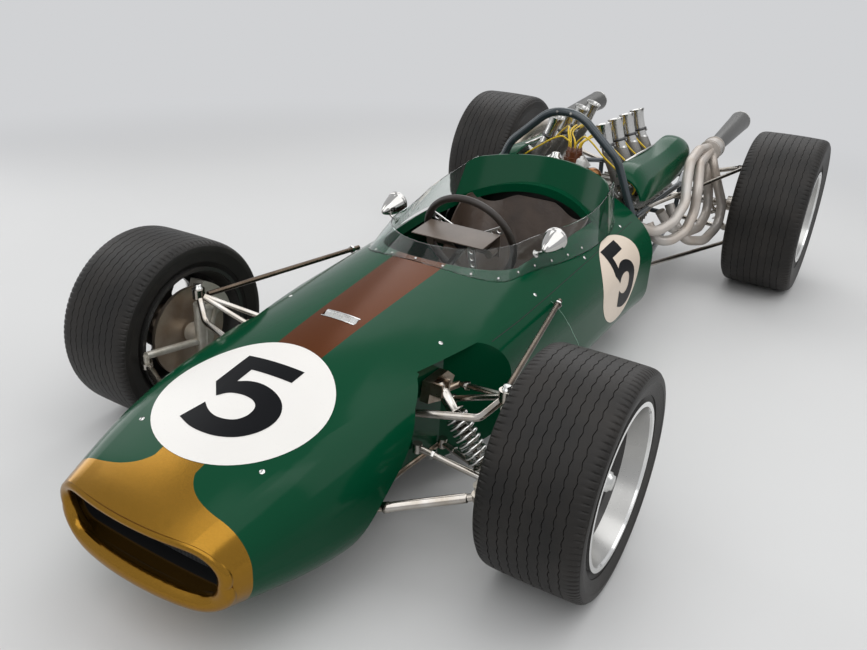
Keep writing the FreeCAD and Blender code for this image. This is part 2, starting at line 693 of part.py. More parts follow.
left_bank = on_bank(bank)
engine_block = fused([block, left_bank, mirrored(left_bank)])
keep_shape("engine_block", engine_block)
head = box((-88, engine_front + 4, 250.3), (88, engine_rear - 4, 340))
cam_covers = [box((low, engine_front + 10, 340), (high, engine_rear - 10, 368))
              for low, high in ((-80, -22), (22, 80))]
cam_covers = [cover.makeFillet(9, [edge for edge in cover.Edges if edge.CenterOfMass.z > 360])
              for cover in cam_covers]
left_head = on_bank(fused([head] + cam_covers))
keep_shape("cylinder_heads", both_sides(left_head))

# A tall trumpet stands over each port on a fat cast elbow, and leans in over the vee.
trumpets = []
for number in range(4):
    station = first_cylinder + number * cylinder_pitch.value
    base = Vector(138, station, 668)
    top = Vector(103, station, 772)
    lean = (top - base).normalize()
    pipe = rod(base, top, 25)
    waist = rod(base + lean * 34, base + lean * 40, 27)
    flare = Part.makeCone(25, 32, 14, top, lean)
    elbow = bent_tube([(196, station, 560), (172, station, 618), tuple(base + lean * 4)], 27, 60)
    trumpets.append(fused([elbow, pipe, waist, flare]))
trumpets = [trumpet.cut(left_head) for trumpet in trumpets]
keep_shape("inlet_trumpets", Part.makeCompound(trumpets + [mirrored(shape) for shape in trumpets]))
distributor = fused([rod((0, 1560, 330), (0, 1560, 600), 22), rod((0, 1560, 600), (0, 1560, 640), 42),
                     rod((0, 1560, 640), (0, 1560, 662), 34)])
keep_shape("distributor", distributor.cut(engine_block))

# columns: station, half width, floor, roof
CASE_SECTIONS = (
    (engine_rear + 2, 150, 130, 400),
    (2200, 110, 170, 400),
    (2387, 100, 190, 400),
    (2640, 70, 210, 370),
)
case = Part.makeLoft([Part.makePolygon([
    Vector(-half, station, low), Vector(half, station, low), Vector(half, station, high),
    Vector(-half, station, high), Vector(-half, station, low)])
    for station, half, low, high in CASE_SECTIONS], True, True)
case_flange = box((-126, 2186, 158), (126, 2200, 412))
jack_peg = rod((0, 2600, 290), (0, 2705, 290), 12)
keep_shape("gearbox", fused([case, case_flange, jack_peg]))

# The four pipes of a bank drop from the head, turn back under it, then climb to one collector.
PRIMARY_ROUTES = (
    ((310, 1580, 400), (362, 1640, 374), (408, 1712, 410), (424, 1786, 474), (400, 1852, 560),
     (386, 1912, 620), (379, 2060, 640), (386, 2240, 622)),
    ((310, 1700, 385), (352, 1688, 326), (404, 1722, 322), (444, 1806, 356), (452, 1862, 430),
     (446, 1870, 530), (408, 1992, 600), (394, 2240, 612)),
    ((310, 1856, 400), (352, 1885, 332), (398, 1988, 284), (430, 2119, 283), (430, 2240, 330),
     (420, 2233, 425), (405, 2172, 530), (394, 2235, 600)),
    ((310, 1994, 400), (352, 1985, 322), (408, 1990, 250), (470, 2080, 240), (494, 2222, 282),
     (488, 2245, 376), (455, 2205, 478), (422, 2186, 570), (398, 2240, 606)),
)
primaries = [bent_tube(route, primary_radius.value, 90) for route in PRIMARY_ROUTES]
collector = rod((392, 2215, 609), (391, 2300, 613), 46)
collector_rings = [rod((392, 2222, 609), (392, 2228, 609), 49), rod((391, 2296, 613), (391, 2302, 613), 49)]
tail = Part.makeCone(33, 50, tailpipe_length.value, Vector(391, 2300, 613), Vector(-9, 561, 35))
tail_bore = Part.makeCone(29, 46, 300, Vector(386, 2580, 630), Vector(-9, 561, 35))
left_exhaust = primaries[0].multiFuse(primaries[1:] + [collector, tail] + collector_rings).cut(tail_bore)
keep_shape("exhaust_left", left_exhaust)
keep_shape("exhaust_right", mirrored(left_exhaust))

# A long cover lies over each head, from the hoop's foot back to a hump, with rounded ends.
# columns: station, inner edge across, inner edge height, outer edge across, outer edge height, bulge
COWL_BANDS = (
    (1452, 226, 622, 332, 545, 18),
    (1500, 216, 648, 336, 535, 26),
    (1700, 215, 655, 337, 530, 28),
    (1950, 216, 664, 334, 536, 32),
    (2070, 222, 678, 330, 550, 34),
    (2150, 232, 660, 318, 570, 28),
    (2190, 246, 630, 300, 588, 16),
)
cowl_gauge = 5
cowl_wires = []
for station, inner, inner_top, out, low, bulge in COWL_BANDS:
    inner_edge = Vector(inner, station, inner_top)
    outer_edge = Vector(out, station, low)
    crest = (inner_edge + outer_edge) * 0.5 + Vector(bulge, 0, bulge)
    shift = Vector(-cowl_gauge, 0, -cowl_gauge)
    cowl_wires.append(Part.Wire([Part.Arc(inner_edge, crest, outer_edge).toShape(),
                                 Part.LineSegment(outer_edge, outer_edge + shift).toShape(),
                                 Part.Arc(outer_edge + shift, crest + shift, inner_edge + shift).toShape(),
                                 Part.LineSegment(inner_edge + shift, inner_edge).toShape()]))
cowl = loft(cowl_wires)
keep_shape("engine_cowl_left", cowl)
keep_shape("engine_cowl_right", mirrored(cowl))

# ---- Suspension and steering -------------------------------------------------------------------
kingpin_top = Vector(500, -35, 445)
kingpin_foot = Vector(540, 0, 160)
arm_ball = Vector(535, -215, 280)
upper_arm = [bent_tube([(283, -97, 353), (448, -66, 381), (500, -35, 445)], 10, 40),
             rod((318, 78, 366), (500, -35, 445), 8), rod((296, 42, 330), (500, -35, 445), 8),
             rod((500, -35, 434), (500, -35, 462), 19)]
lower_arm = [rod((274, -42, 214), (540, 0, 154), 9.5), rod((284, 71, 172), (540, 0, 154), 9.5),
             rod((268, -43, 202), (268, -43, 228), 13), rod((279, 73, 158), (279, 73, 186), 13),
             rod((540, 0, 140), (540, 0, 168), 21)]
front_arms = Part.makeCompound([fused(upper_arm), fused(lower_arm)])
keep_shape("front_arms_left", front_arms)
keep_shape("front_arms_right", mirrored(front_arms))


def spring_unit(top, foot, eye):
    """A damper between two eyes, with the coil round it held between two round seats."""
    top, foot = Vector(*top), Vector(*foot)
    along = (foot - top).normalize()
    length = (foot - top).Length
    seats = [0.16 * length, 0.84 * length]
    parts = [rod(top, top + along * length * 0.55, 15), rod(top, foot, 7),
             rod(top + Vector(0, -14, 0), top + Vector(0, 14, 0), eye),
             rod(foot + Vector(0, -13, 0), foot + Vector(0, 13, 0), eye)]
    parts += [rod(top + along * (seats[0] - 5), top + along * seats[0], 29),
              rod(top + along * seats[1], top + along * (seats[1] + 5), 29)]
    wire_radius = 4.5
    room = seats[1] - seats[0] - 2 * wire_radius - 1
    coil_path = Part.makeHelix(room / 7.5, room, 23)
    start = Part.Wire(Part.makeCircle(wire_radius, Vector(23, 0, 0), Vector(0, 1, 0)))
    coil = coil_path.makePipeShell([start], True, True)
    coil_start = top + along * (seats[0] + wire_radius + 0.5)
    coil.Placement = Placement(coil_start, Rotation(Vector(0, 0, 1), along))
    return fused(parts), coil


front_damper, front_coil = spring_unit((306, -8, 394), (474, -22, 186), 12)
front_unit = Part.makeCompound([front_damper.cut(front_arms), front_coil.cut(front_arms)])
keep_shape("front_coilovers", both_sides(front_unit))
radius_rod = rod((486, -12, 441), (374, 588, 440), 8)
keep_shape("radius_rods", both_sides(radius_rod.cut(front_arms)))

# Brackets on the frame carry the inner ends of the arms and the springs' tops, beside a lower tube.
bracket = Part.Face(Part.makePolygon([
    Vector(262, -36, 350), Vector(262, -24, 404), Vector(262, 60, 404), Vector(262, 100, 372),
    Vector(262, 60, 318), Vector(262, -36, 350)])).extrude(Vector(26, 0, 0))
spring_ears = [box((288, -30, 374), (322, -23, 410)), box((288, 7, 374), (322, 14, 410))]
rear_ear = rod((288, 50, 352), (316, 80, 366), 9)
side_tube = rod((243, -120, 156), (268, 150, 156), 8.5)
front_bracket = fused([bracket] + spring_ears + [rear_ear]).cut(front_arms).cut(front_unit)
bulkhead_parts = [front_bracket, side_tube.cut(front_arms)]
bulkhead = Part.makeCompound([part.cut(left_panel).cut(lower_pan) for part in bulkhead_parts])
keep_shape("front_brackets", both_sides(bulkhead))


def caliper(centre, inside, outside, lift):
    """A brake caliper: a saddle over the disc's edge, clear of it, whose middle stands at an angle
    above the rearward horizontal."""
    spread = 56
    block = Part.makeCylinder(160, outside - inside + 40, Vector(0, 0, inside - 20), Vector(0, 0, 1),
                              spread)
    block = block.cut(Part.makeCylinder(96, outside + 100))
    block = block.cut(Part.makeCylinder(147, outside - inside + 12, Vector(0, 0, inside - 6)))
    block.rotate(Vector(0, 0, 0), Vector(0, 0, 1), -spread / 2)
    block.rotate(Vector(0, 0, 0), Vector(0, 1, 0), 90)
    block.rotate(Vector(0, 0, 0), Vector(1, 0, 0), 90 + lift)
    block.translate(Vector(0, centre[1], centre[2]))
    return block


kingpin_lean = (kingpin_top - kingpin_foot).normalize()
arm_end = arm_ball + kingpin_lean * 30
knuckle_top = kingpin_top + (kingpin_foot - kingpin_top) * 0.12
knuckle_foot = kingpin_foot + (kingpin_top - kingpin_foot) * 0.07
web_corners = [Vector(508, -30, 396), Vector(560, 84, 352), Vector(534, 0, 195)]
knuckle_web = Part.Face(Part.makePolygon(web_corners + web_corners[:1])).extrude(Vector(6, 0, 0))
web_parts = [rod((512, -26, 390), (560, 84, 352), 10), rod((536, 0, 196), (560, 84, 352), 10),
             rod((552, 80, 348), (566, 88, 370), 13)]
front_caliper = caliper((584, 0, 288), 584, 596, 45)
knuckle_parts = [rod((515, -5, 288), (575, 0, 288), 32),
                 rod((570, 0, 288), (694, 0, 288), stub_radius.value),
                 rod((525, -18, 280), arm_end, 11), rod(arm_ball - kingpin_lean * 14, arm_end, 8),
                 front_caliper, knuckle_web] + web_parts
knuckle_left = rod(knuckle_foot, knuckle_top, 18).multiFuse(knuckle_parts)
keep_shape("knuckle_left", knuckle_left)
keep_shape("knuckle_right", mirrored(knuckle_left))
rod_eye = rod(arm_ball - kingpin_lean * 9, arm_ball + kingpin_lean * 9, 16)
rod_bore = rod(arm_ball - kingpin_lean * 20, arm_ball + kingpin_lean * 20, 8.3)
track_rod = fused([rod((312, -294, 198), arm_ball, 9), rod_eye]).cut(rod_bore)
keep_shape("track_rod_left", track_rod)
keep_shape("track_rod_right", mirrored(track_rod))
keep_shape("steering_rack", rod((-296, -300, 190), (296, -300, 190), 16))

rear_caliper = caliper((609, 2387, 350), 609, 621, 125)
rear_upright = fused([box((530, 2342, 200), (570, 2432, 500)), rod((540, 2345, 545), (540, 2345, 490), 16),
                      rod((540, 2400, 540), (540, 2400, 490), 16),
                      rod((570, 2387, 350), (605, 2387, 350), 38),
                      rod((600, 2387, 350), (724, 2387, 350), stub_radius.value), rear_caliper,
                      rod((560, 2356, 440), (590, 2324, 450), 15),
                      rod((540, 2345, 168), (540, 2345, 205), 16)])
keep_shape("rear_uprights", both_sides(rear_upright))
# The upper radius rod passes between the cam cover and the foremost exhaust pipe.
upper_rod_foot = (284, 1452, 476)
upper_radius_rod = fused([rod(upper_rod_foot, (532, 2345, 532), 8),
                          rod(upper_rod_foot, (312, 1446, 476), 8)])
rear_links = Part.makeCompound([rod((214, 2560, 400), (540, 2402, 528), 11),
                                rod((210, 2540, 195), (535, 2415, 215), 11),
                                rod((345, 1470, 262), (534, 2345, 180), 9), upper_radius_rod])
rear_links = rear_links.cut(rear_upright).cut(space_frame).cut(hoop)
keep_shape("rear_links", both_sides(rear_links))
rear_damper, rear_coil = spring_unit((250, 2320, 560), (505, 2320, 250), 13)
rear_unit = Part.makeCompound([rear_damper.cut(rear_upright), rear_coil])
keep_shape("rear_coilovers", both_sides(rear_unit))
joint_cups = [rod((112, 2387, 330.3), (150, 2387, 332), 34), rod((486, 2387, 348), (528, 2387, 350), 34)]
driveshaft = fused([rod((106, 2387, 330), (528, 2387, 350), 17)] + joint_cups)
keep_shape("driveshafts", both_sides(driveshaft.cut(rear_unit)))

# ---- Wheels -----------------------------------------------------------------------------------


def tyre_outline(radius, width):
    """Half of a low wide racing tyre: a shallow round tread, round shoulders, short side walls."""
    half = width / 2
    bead = rim_radius + 0.2
    right = [(half * 0.86, bead), (half * 0.97, radius * 0.77), (half * 1.0, radius * 0.83),
             (half * 0.99, radius * 0.90), (half * 0.955, radius * 0.944), (half * 0.88, radius * 0.973),
             (half * 0.72, radius * 0.989), (half * 0.4, radius * 0.999)]
    left = [(-across, out) for across, out in reversed(right)]
    return right + left


def rim_outline(width, outward):
    """A deep barrel with rolled flanges and a dished centre that bolts to the hub's outer face."""
    half = width / 2 * 0.94
    barrel = rim_radius - 34
    outline = [(half, rim_radius), (-half, rim_radius), (-half, rim_radius - 12),
               (-half * 0.6, barrel), (half * 0.2, barrel), (half * 0.2, Size(31)),
               (half * 0.34, Size(31)), (half * 0.34, Size(62)), (half * 0.28, Size(80)),
               (half * 0.28, Size(138)), (half * 0.42, barrel), (half, rim_radius - 12)]
    return outline if outward > 0 else [(-across, out) for across, out in reversed(outline)]


def hub_outline(width, outward):
    """Brake disc, bell and hub in one turning, bored for the stub axle."""
    half = width / 2 * 0.94
    disc_face = Size(-96)
    outline = [(disc_face, hub_bore), (half * 0.2 - 0.2, hub_bore), (half * 0.2 - 0.2, Size(58)),
               (disc_face + 26, Size(50)), (disc_face + 12, Size(50)), (disc_face + 12, disc_radius),
               (disc_face, disc_radius)]
    return outline if outward > 0 else [(-across, out) for across, out in reversed(outline)]


# columns: name, half track, axle station, tyre radius, tyre width
WHEELS = (
    ("front_left", front_track / 2, Size(0), front_tyre_radius, front_tyre_width),
    ("front_right", -(front_track / 2), Size(0), front_tyre_radius, front_tyre_width),
    ("rear_left", rear_track / 2, wheelbase, rear_tyre_radius, rear_tyre_width),
    ("rear_right", -(rear_track / 2), wheelbase, rear_tyre_radius, rear_tyre_width),
)
window_count = 6


def rim_windows():
    """The openings between the spokes, as one sector with round ends repeated about the axle."""
    sector = Part.makeCylinder(150, 400, Vector(-200, 0, 0), Vector(1, 0, 0), 30)
    sector = sector.cut(Part.makeCylinder(84, 500, Vector(-250, 0, 0), Vector(1, 0, 0)))
    upright_edges = [edge for edge in sector.Edges if abs(edge.Length - 400) < 0.01]
    sector = sector.makeFillet(12, upright_edges)
    windows = [sector.copy() for turn in range(window_count)]
    for turn, window in enumerate(windows):
        window.rotate(Vector(0, 0, 0), Vector(1, 0, 0), turn * 360 / window_count)
    return Part.makeCompound(windows)


windows = rim_windows()
for name, across, axle, radius, width in WHEELS:
    centre = (across.value, axle.value, radius.value)
    outward = 1 if across.value > 0 else -1
    keep("tyre_" + name, turned_body("tyre_" + name, tyre_outline(radius, width), centre))
    turned_rim = turned_body("turned_rim_" + name, rim_outline(width, outward), (0, 0, 0))
    doc.recompute()
    face = outward * width.value * 0.47 * 0.34
    nut = Part.makeCylinder(34, 24, Vector(face, 0, 0), Vector(outward, 0, 0))
    nut = nut.common(Part.Face(Part.makePolygon([
        Vector(face, 36 * math.cos(math.radians(step * 60)), 36 * math.sin(math.radians(step * 60)))
        for step in range(7)])).extrude(Vector(outward * 30, 0, 0)))
    rim = turned_rim.Shape.cut(windows).fuse(nut)
    rim.translate(Vector(*centre))
    keep_shape("rim_" + name, rim)
    keep("brake_disc_" + name, turned_body("brake_disc_" + name, hub_outline(width, outward), centre))

doc.recompute()
failed = [obj.Label for obj in doc.Objects if "Invalid" in obj.State or "Error" in obj.State]
if failed:
    raise RuntimeError("failed objects: " + ", ".join(failed))
os.makedirs("parts", exist_ok=True)
for obj in pieces:
    if obj.Shape.isNull() or not obj.Shape.isValid():
        raise RuntimeError("bad shape: " + obj.Label)
    obj.Shape.exportStep("parts/%s.step" % obj.Label)
    print(obj.Label, len(obj.Shape.Solids), round(obj.Shape.Volume / 1e6, 3), obj.Shape.BoundBox)
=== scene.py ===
import bpy, bmesh, math
from mathutils import Matrix, Vector
from mathutils.bvhtree import BVHTree


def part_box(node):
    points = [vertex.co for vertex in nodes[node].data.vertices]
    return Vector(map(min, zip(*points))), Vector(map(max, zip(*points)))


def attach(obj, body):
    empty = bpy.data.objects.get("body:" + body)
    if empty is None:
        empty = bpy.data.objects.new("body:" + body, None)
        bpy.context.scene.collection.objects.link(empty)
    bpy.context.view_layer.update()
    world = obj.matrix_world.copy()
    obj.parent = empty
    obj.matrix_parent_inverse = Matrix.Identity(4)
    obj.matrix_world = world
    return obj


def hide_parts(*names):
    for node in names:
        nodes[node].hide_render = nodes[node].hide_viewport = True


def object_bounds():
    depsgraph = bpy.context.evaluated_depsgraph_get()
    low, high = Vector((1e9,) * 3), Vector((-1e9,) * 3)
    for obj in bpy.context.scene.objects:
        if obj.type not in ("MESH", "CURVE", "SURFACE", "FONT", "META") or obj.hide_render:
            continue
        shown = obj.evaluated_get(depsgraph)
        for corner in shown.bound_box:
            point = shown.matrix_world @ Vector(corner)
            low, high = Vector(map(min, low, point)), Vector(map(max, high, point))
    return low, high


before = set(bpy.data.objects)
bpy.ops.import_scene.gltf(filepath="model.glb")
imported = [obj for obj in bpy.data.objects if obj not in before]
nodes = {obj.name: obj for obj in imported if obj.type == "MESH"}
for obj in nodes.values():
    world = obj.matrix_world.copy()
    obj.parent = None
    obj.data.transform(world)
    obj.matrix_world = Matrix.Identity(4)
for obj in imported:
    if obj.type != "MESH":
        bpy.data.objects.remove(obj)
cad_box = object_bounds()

# ---- Floor, lights and camera --------------------------------------------------------------------
# A seamless pale studio.  The car stands on its four tyres on a plain floor that runs out of sight.
# Large soft lamps hang over the nose, the cockpit and the tail, with a low fill from the far side.


def feed(tree, node, sockets):
    """Gives each named socket a value of its own, or links it to the socket that sends one."""
    for name, value in sockets.items():
        socket = node.inputs[name]
        if isinstance(value, bpy.types.NodeSocket):
            tree.links.new(value, socket)
        else:
            socket.default_value = (*value, 1) if socket.type == "RGBA" else value


def added(tree, kind, sockets, **settings):
    """One more step in a finish, with its settings and what goes into it."""
    node = tree.nodes.new("ShaderNode" + kind)
    for name, value in settings.items():
        setattr(node, name, value)
    feed(tree, node, sockets)
    return node


def grain(tree, scale, detail, place, distortion=0.0):
    """A soft noise that runs over the whole surface at one scale."""
    sockets = {"Scale": scale, "Detail": detail, "Distortion": distortion, "Vector": place}
    return added(tree, "TexNoise", sockets).outputs["Fac"]


def blended(tree, factor, first, second):
    """One colour laid over another.  Each is a colour or a socket that gives one."""
    sockets = {"Factor": factor, "A": first, "B": second}
    return added(tree, "Mix", sockets, data_type="RGBA").outputs["Result"]


def calculate(tree, operation, *values):
    """One step of arithmetic between numbers or sockets."""
    return added(tree, "Math", dict(enumerate(values)), operation=operation).outputs[0]


def multiplied(tree, *factors):
    """Some numbers or sockets multiplied together, so 1 only where every test gives 1."""
    product = factors[0]
    for factor in factors[1:]:
        product = calculate(tree, "MULTIPLY", product, factor)
    return product


def on_vectors(tree, operation, *values):
    """One step of arithmetic between places, which gives a Vector or a Value."""
    return added(tree, "VectorMath", dict(enumerate(values)), operation=operation).outputs


def ramped(tree, value, start, end, low=0.0, high=1.0, smooth=False):
    """A number that goes from one level to another as a value crosses a range."""
    sockets = {"From Min": start, "From Max": end, "To Min": low, "To Max": high, "Value": value}
    shape = "SMOOTHSTEP" if smooth else "LINEAR"
    return added(tree, "MapRange", sockets, interpolation_type=shape).outputs["Result"]


def bumped(tree, height, strength, distance, under=None):
    """Relief that follows a height, on top of another relief where there is one."""
    sockets = {"Strength": strength, "Distance": distance, "Height": height}
    if under:
        sockets["Normal"] = under
    return added(tree, "Bump", sockets).outputs["Normal"]


def opened(material):
    """A material's node tree, its shader, and a socket that gives the place on the object."""
    tree = material.node_tree
    return tree, tree.nodes["Principled BSDF"], added(tree, "TexCoord", {}).outputs["Object"]


def finish(name, colour, rough, metal=0.0, mottle=0.12, scale=9.0, bump=0.0, bump_scale=220.0, coat=0.0,
           dirt=None, shine=0.5):
    """A surface finish: colour and roughness that drift a little, and a fine bump."""
    made = bpy.data.materials.new(name)
    made.use_nodes = True
    tree, shader, place = opened(made)
    drift = ramped(tree, grain(tree, scale, 4.0, place), 0, 1, -0.4, 1.4)
    worn = dirt or tuple(part * (1 - mottle) for part in colour)
    fine = grain(tree, bump_scale, 3.0, place)
    feed(tree, shader, {
        "Base Color": blended(tree, drift, colour, worn),
        "Roughness": ramped(tree, fine, 0, 1, rough * 0.75, rough * 1.25),
        "Metallic": metal, "Coat Weight": coat, "Coat Roughness": 0.04, "Specular IOR Level": shine})
    if bump:
        feed(tree, shader, {"Normal": bumped(tree, fine, bump, 0.001)})
    return made


def looked_at(tree):
    """1 for rays from the camera, from gloss and through glass, and 0 for light that scatters."""
    rays = added(tree, "LightPath", {}).outputs
    seen = calculate(tree, "MAXIMUM", rays["Is Camera Ray"], rays["Is Glossy Ray"])
    return calculate(tree, "MAXIMUM", seen, rays["Is Transmission Ray"])


def stood(name, data):
    """A mesh, curve, lamp or camera put in the scene."""
    made = bpy.data.objects.new(name, data)
    bpy.context.scene.collection.objects.link(made)
    return made


floor_reach = 60
floor_mesh = bpy.data.meshes.new("studio_floor")
floor_mesh.from_pydata([(across * floor_reach, along * floor_reach, 0) for across, along in
                        ((-1, -1), (1, -1), (1, 1), (-1, 1))], [], [(0, 1, 2, 3)])
floor_paint = finish("studio_floor_paint", (0.68, 0.68, 0.675), 0.6, mottle=0.02, scale=1.5)
floor_mesh.materials.append(floor_paint)
stood("studio_floor", floor_mesh)

# Far from the car the floor takes on the brightness of the air behind it.
air_colour = (0.86, 0.87, 0.89)
air_seen, air_light = 0.74, 0.52
fade_start, fade_end = 2.2, 5.2
tree, shader, place = opened(floor_paint)
far_off = on_vectors(tree, "LENGTH", place)["Value"]
distant = ramped(tree, far_off, fade_start, fade_end, smooth=True)
glow = added(tree, "Emission", {"Color": air_colour, "Strength": air_seen})
fade_out = added(tree, "MixShader", {"Fac": multiplied(tree, distant, looked_at(tree)),
                                     1: shader.outputs["BSDF"], 2: glow.outputs["Emission"]})
feed(tree, tree.nodes["Material Output"], {"Surface": fade_out.outputs["Shader"]})

world = bpy.data.worlds.new("studio_air")
bpy.context.scene.world = world
world.use_nodes = True
air = world.node_tree
feed(air, air.nodes["Background"], {
    "Color": air_colour,
    "Strength": calculate(air, "MULTIPLY_ADD", looked_at(air), air_seen - air_light, air_light)})

# columns: name, place, aimed at, width, depth, power
LAMPS = (
    ("lamp_over_nose", (0.4, -2.6, 3.4), (0, -0.9, 0.3), 3.6, 4.6, 66),
    ("lamp_over_cockpit", (1.9, 0.4, 3.6), (0, 0.2, 0.4), 3.0, 5.0, 58),
    ("lamp_over_tail", (-0.8, 2.9, 3.0), (0, 1.2, 0.4), 3.6, 3.0, 50),
    ("lamp_far_side", (-3.6, -0.6, 2.0), (0, -0.2, 0.3), 1.2, 4.0, 30),
)
for name, place, aim, wide, deep, power in LAMPS:
    light = bpy.data.lights.new(name, "AREA")
    light.shape = "RECTANGLE"
    light.size = wide
    light.size_y = deep
    light.energy = power
    lamp = stood(name, light)
    lamp.location = place
    lamp.rotation_euler = (Vector(aim) - Vector(place)).to_track_quat("-Z", "Y").to_euler()

camera_data = bpy.data.cameras.new("camera")
camera_data.sensor_width = 36.0
camera_data.lens = 34.16
camera_data.clip_end = 300
camera = stood("camera", camera_data)
camera_place = (1.1751, -2.6564, 1.4241)
looking = Vector((-0.44426, 0.78714, -0.42783))
level = looking.cross(Vector((0, 0, 1))).normalized()
over = level.cross(looking)
roll = math.radians(3.261)
sideways = math.cos(roll) * level + math.sin(roll) * over
upwards = -math.sin(roll) * level + math.cos(roll) * over
turn_of_camera = Matrix((sideways, upwards, -looking)).transposed()
camera.matrix_world = Matrix.Translation(camera_place) @ turn_of_camera.to_4x4()
bpy.context.scene.camera = camera
bpy.context.scene.view_settings.view_transform = "Standard"

# ---- Body panels -----------------------------------------------------------------------------------
# Moulded glassfibre in deep green gloss paint, on an alloy tub.  The nose band and the stripe behind
# it are a metallic gold with a curved edge, masked and sprayed over the green.
nose_tip = cad_box[0][1]
body_green = (0.0016, 0.060, 0.025)
# The stripe is sprayed in the nose's gold. The darker brown given to it here is painted shade.
nose_gold, stripe_painted_shade = (0.29, 0.150, 0.021), (0.095, 0.025, 0.004)
intake_dark = (0.022, 0.023, 0.025)
stripe_floor, stripe_end = 0.3, -0.6
intake_axis_height, intake_end = 0.225, -1.3


def dress(material, *names):
    """Gives CAD nodes their finish."""
    for name in names:
        nodes[name].data.materials.clear()
        nodes[name].data.materials.append(material)


def parts_of(tree, vector):
    """How far a vector reaches across, along and up."""
    return added(tree, "SeparateXYZ", {0: vector}).outputs


def fed_by(shader, name):
    """The socket that gives a shader its colour or its roughness."""
    return shader.inputs[name].links[0].from_socket


def scaled(tree, colour, factor):
    """A colour made darker or brighter by a factor."""
    sockets = {0: colour, "Scale": factor}
    return added(tree, "VectorMath", sockets, operation="SCALE").outputs["Vector"]


def body_paint(name):
    """The green gloss that the whole body is sprayed in."""
    return finish(name, body_green, 0.14, mottle=0.12, scale=2.5, bump=0.02, bump_scale=600, shine=0.12)


def gold_nosed(name):
    """The green gloss with its gold nose and stripe, dark inside the air intake."""
    made = body_paint(name)
    tree, shader, place = opened(made)
    green, gloss = fed_by(shader, "Base Color"), fed_by(shader, "Roughness")
    parts = parts_of(tree, place)
    across, along = calculate(tree, "ABSOLUTE", parts["X"]), parts["Y"]
    stripe_half = ramped(tree, along, nose_tip + 0.18, nose_tip + 1.1, 0.06, 0.084)
    stripe = multiplied(tree, calculate(tree, "LESS_THAN", across, stripe_half),
                        calculate(tree, "GREATER_THAN", parts["Z"], stripe_floor),
                        calculate(tree, "LESS_THAN", along, stripe_end))
    # The gold spreads from the stripe to the whole nose along a curve.
    bend = calculate(tree, "SUBTRACT", 1.0, calculate(tree, "SQRT", ramped(tree, across, 0.05, 0.2)))
    edge = calculate(tree, "MULTIPLY_ADD", multiplied(tree, bend, bend), 0.105, nose_tip + 0.09)
    gold = calculate(tree, "MAXIMUM", calculate(tree, "LESS_THAN", along, edge), stripe)
    # Metal flake: fine sparkle in the gold. Back along the stripe the gold is painted browner and darker as
    # painted shade, and it is duller.
    fade = ramped(tree, along, nose_tip + 0.1, nose_tip + 0.6, smooth=True)
    flake = ramped(tree, grain(tree, 900, 1.0, place), 0, 1, 0.55, 1.5)
    sparkle = scaled(tree, blended(tree, fade, nose_gold, stripe_painted_shade), flake)
    painted = blended(tree, gold, green, sparkle)
    # Inside the air intake the skin is left dark, behind a gold lip.
    from_axis = on_vectors(tree, "MULTIPLY_ADD", place, (1, 0, 1), (0, 0, -intake_axis_height))["Vector"]
    outside = added(tree, "TexCoord", {}).outputs["Normal"]
    facing = on_vectors(tree, "DOT_PRODUCT", from_axis, outside)["Value"]
    hidden = multiplied(tree, calculate(tree, "LESS_THAN", facing, 0.0),
                        ramped(tree, along, nose_tip + 0.07, nose_tip + 0.078),
                        calculate(tree, "LESS_THAN", along, intake_end))
    gold = multiplied(tree, gold, calculate(tree, "SUBTRACT", 1.0, hidden))
    flaked = ramped(tree, fade, 0, 1, 0.95, 0.3)
    feed(tree, shader, {
        "Base Color": blended(tree, hidden, painted, intake_dark),
        "Metallic": multiplied(tree, gold, flaked),
        "Roughness": calculate(tree, "ADD", gloss, multiplied(tree, gold, 0.08))})
    return made


dress(gold_nosed("nose_paint"), "upper_moulding")
dress(body_paint("panel_paint"), "side_panel_left", "side_panel_right", "headrest_hood", "engine_cowl_left",
      "engine_cowl_right")
dress(finish("floor_alloy", (0.5, 0.5, 0.49), 0.4, metal=0.9, mottle=0.3), "belly_pan")
bright_alloy = finish("bright_alloy", (0.74, 0.74, 0.72), 0.24, metal=1.0, mottle=0.2, scale=40)
dress(bright_alloy, "notch_strips")

SIDES = ((1, "left"), (-1, "right"))
sideward, rearward, skyward = Vector((1, 0, 0)), Vector((0, 1, 0)), Vector((0, 0, 1))


def mirrored(side, place):
    """A place on the left of the car, or the same place on its right."""
    return Vector((side * place[0], place[1], place[2]))


def placed(name, made_mesh, material, body="chassis", smooth=True):
    """A bmesh made into a piece of the car that rides on a body."""
    mesh = bpy.data.meshes.new(name)
    made_mesh.to_mesh(mesh)
    made_mesh.free()
    for face in mesh.polygons:
        face.use_smooth = smooth
    mesh.materials.append(material)
    made = stood(name, mesh)
    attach(made, body)
    return made


trees = {}


def tree_of(panel):
    """The surface of a CAD node, ready to be found by a straight line."""
    if panel not in trees:
        trees[panel] = BVHTree.FromObject(nodes[panel], bpy.context.evaluated_depsgraph_get())
    return trees[panel]


def surface(start, away, *panels):
    """The outermost spot and normal of some panels, seen from a start point against a direction."""
    hits = [tree_of(panel).ray_cast(start, -away) for panel in panels]
    hits = [hit for hit in hits if hit[0] is not None]
    if not hits:
        return None
    spot = min(hits, key=lambda hit: hit[3])
    return spot[0], (spot[1] if spot[1].dot(away) > 0 else -spot[1])


def flat_face(made_mesh, corners):
    """Adds one loose face."""
    made_mesh.faces.new([made_mesh.verts.new(corner) for corner in corners])


def skinned(made_mesh, rows, closed=False):
    """Fills in the skin between rows of points.  A row of one point brings it to a tip."""
    for low, high in zip(rows, rows[1:]):
        count = max(len(low), len(high))
        for step in range(count if closed else count - 1):
            there = (step + 1) % count
            corners = dict.fromkeys((low[step % len(low)], low[there % len(low)],
                                     high[there % len(high)], high[step % len(high)]))
            if None not in corners and len(corners) > 2:
                made_mesh.faces.new(tuple(corners))


clear_of_panels = 0.6


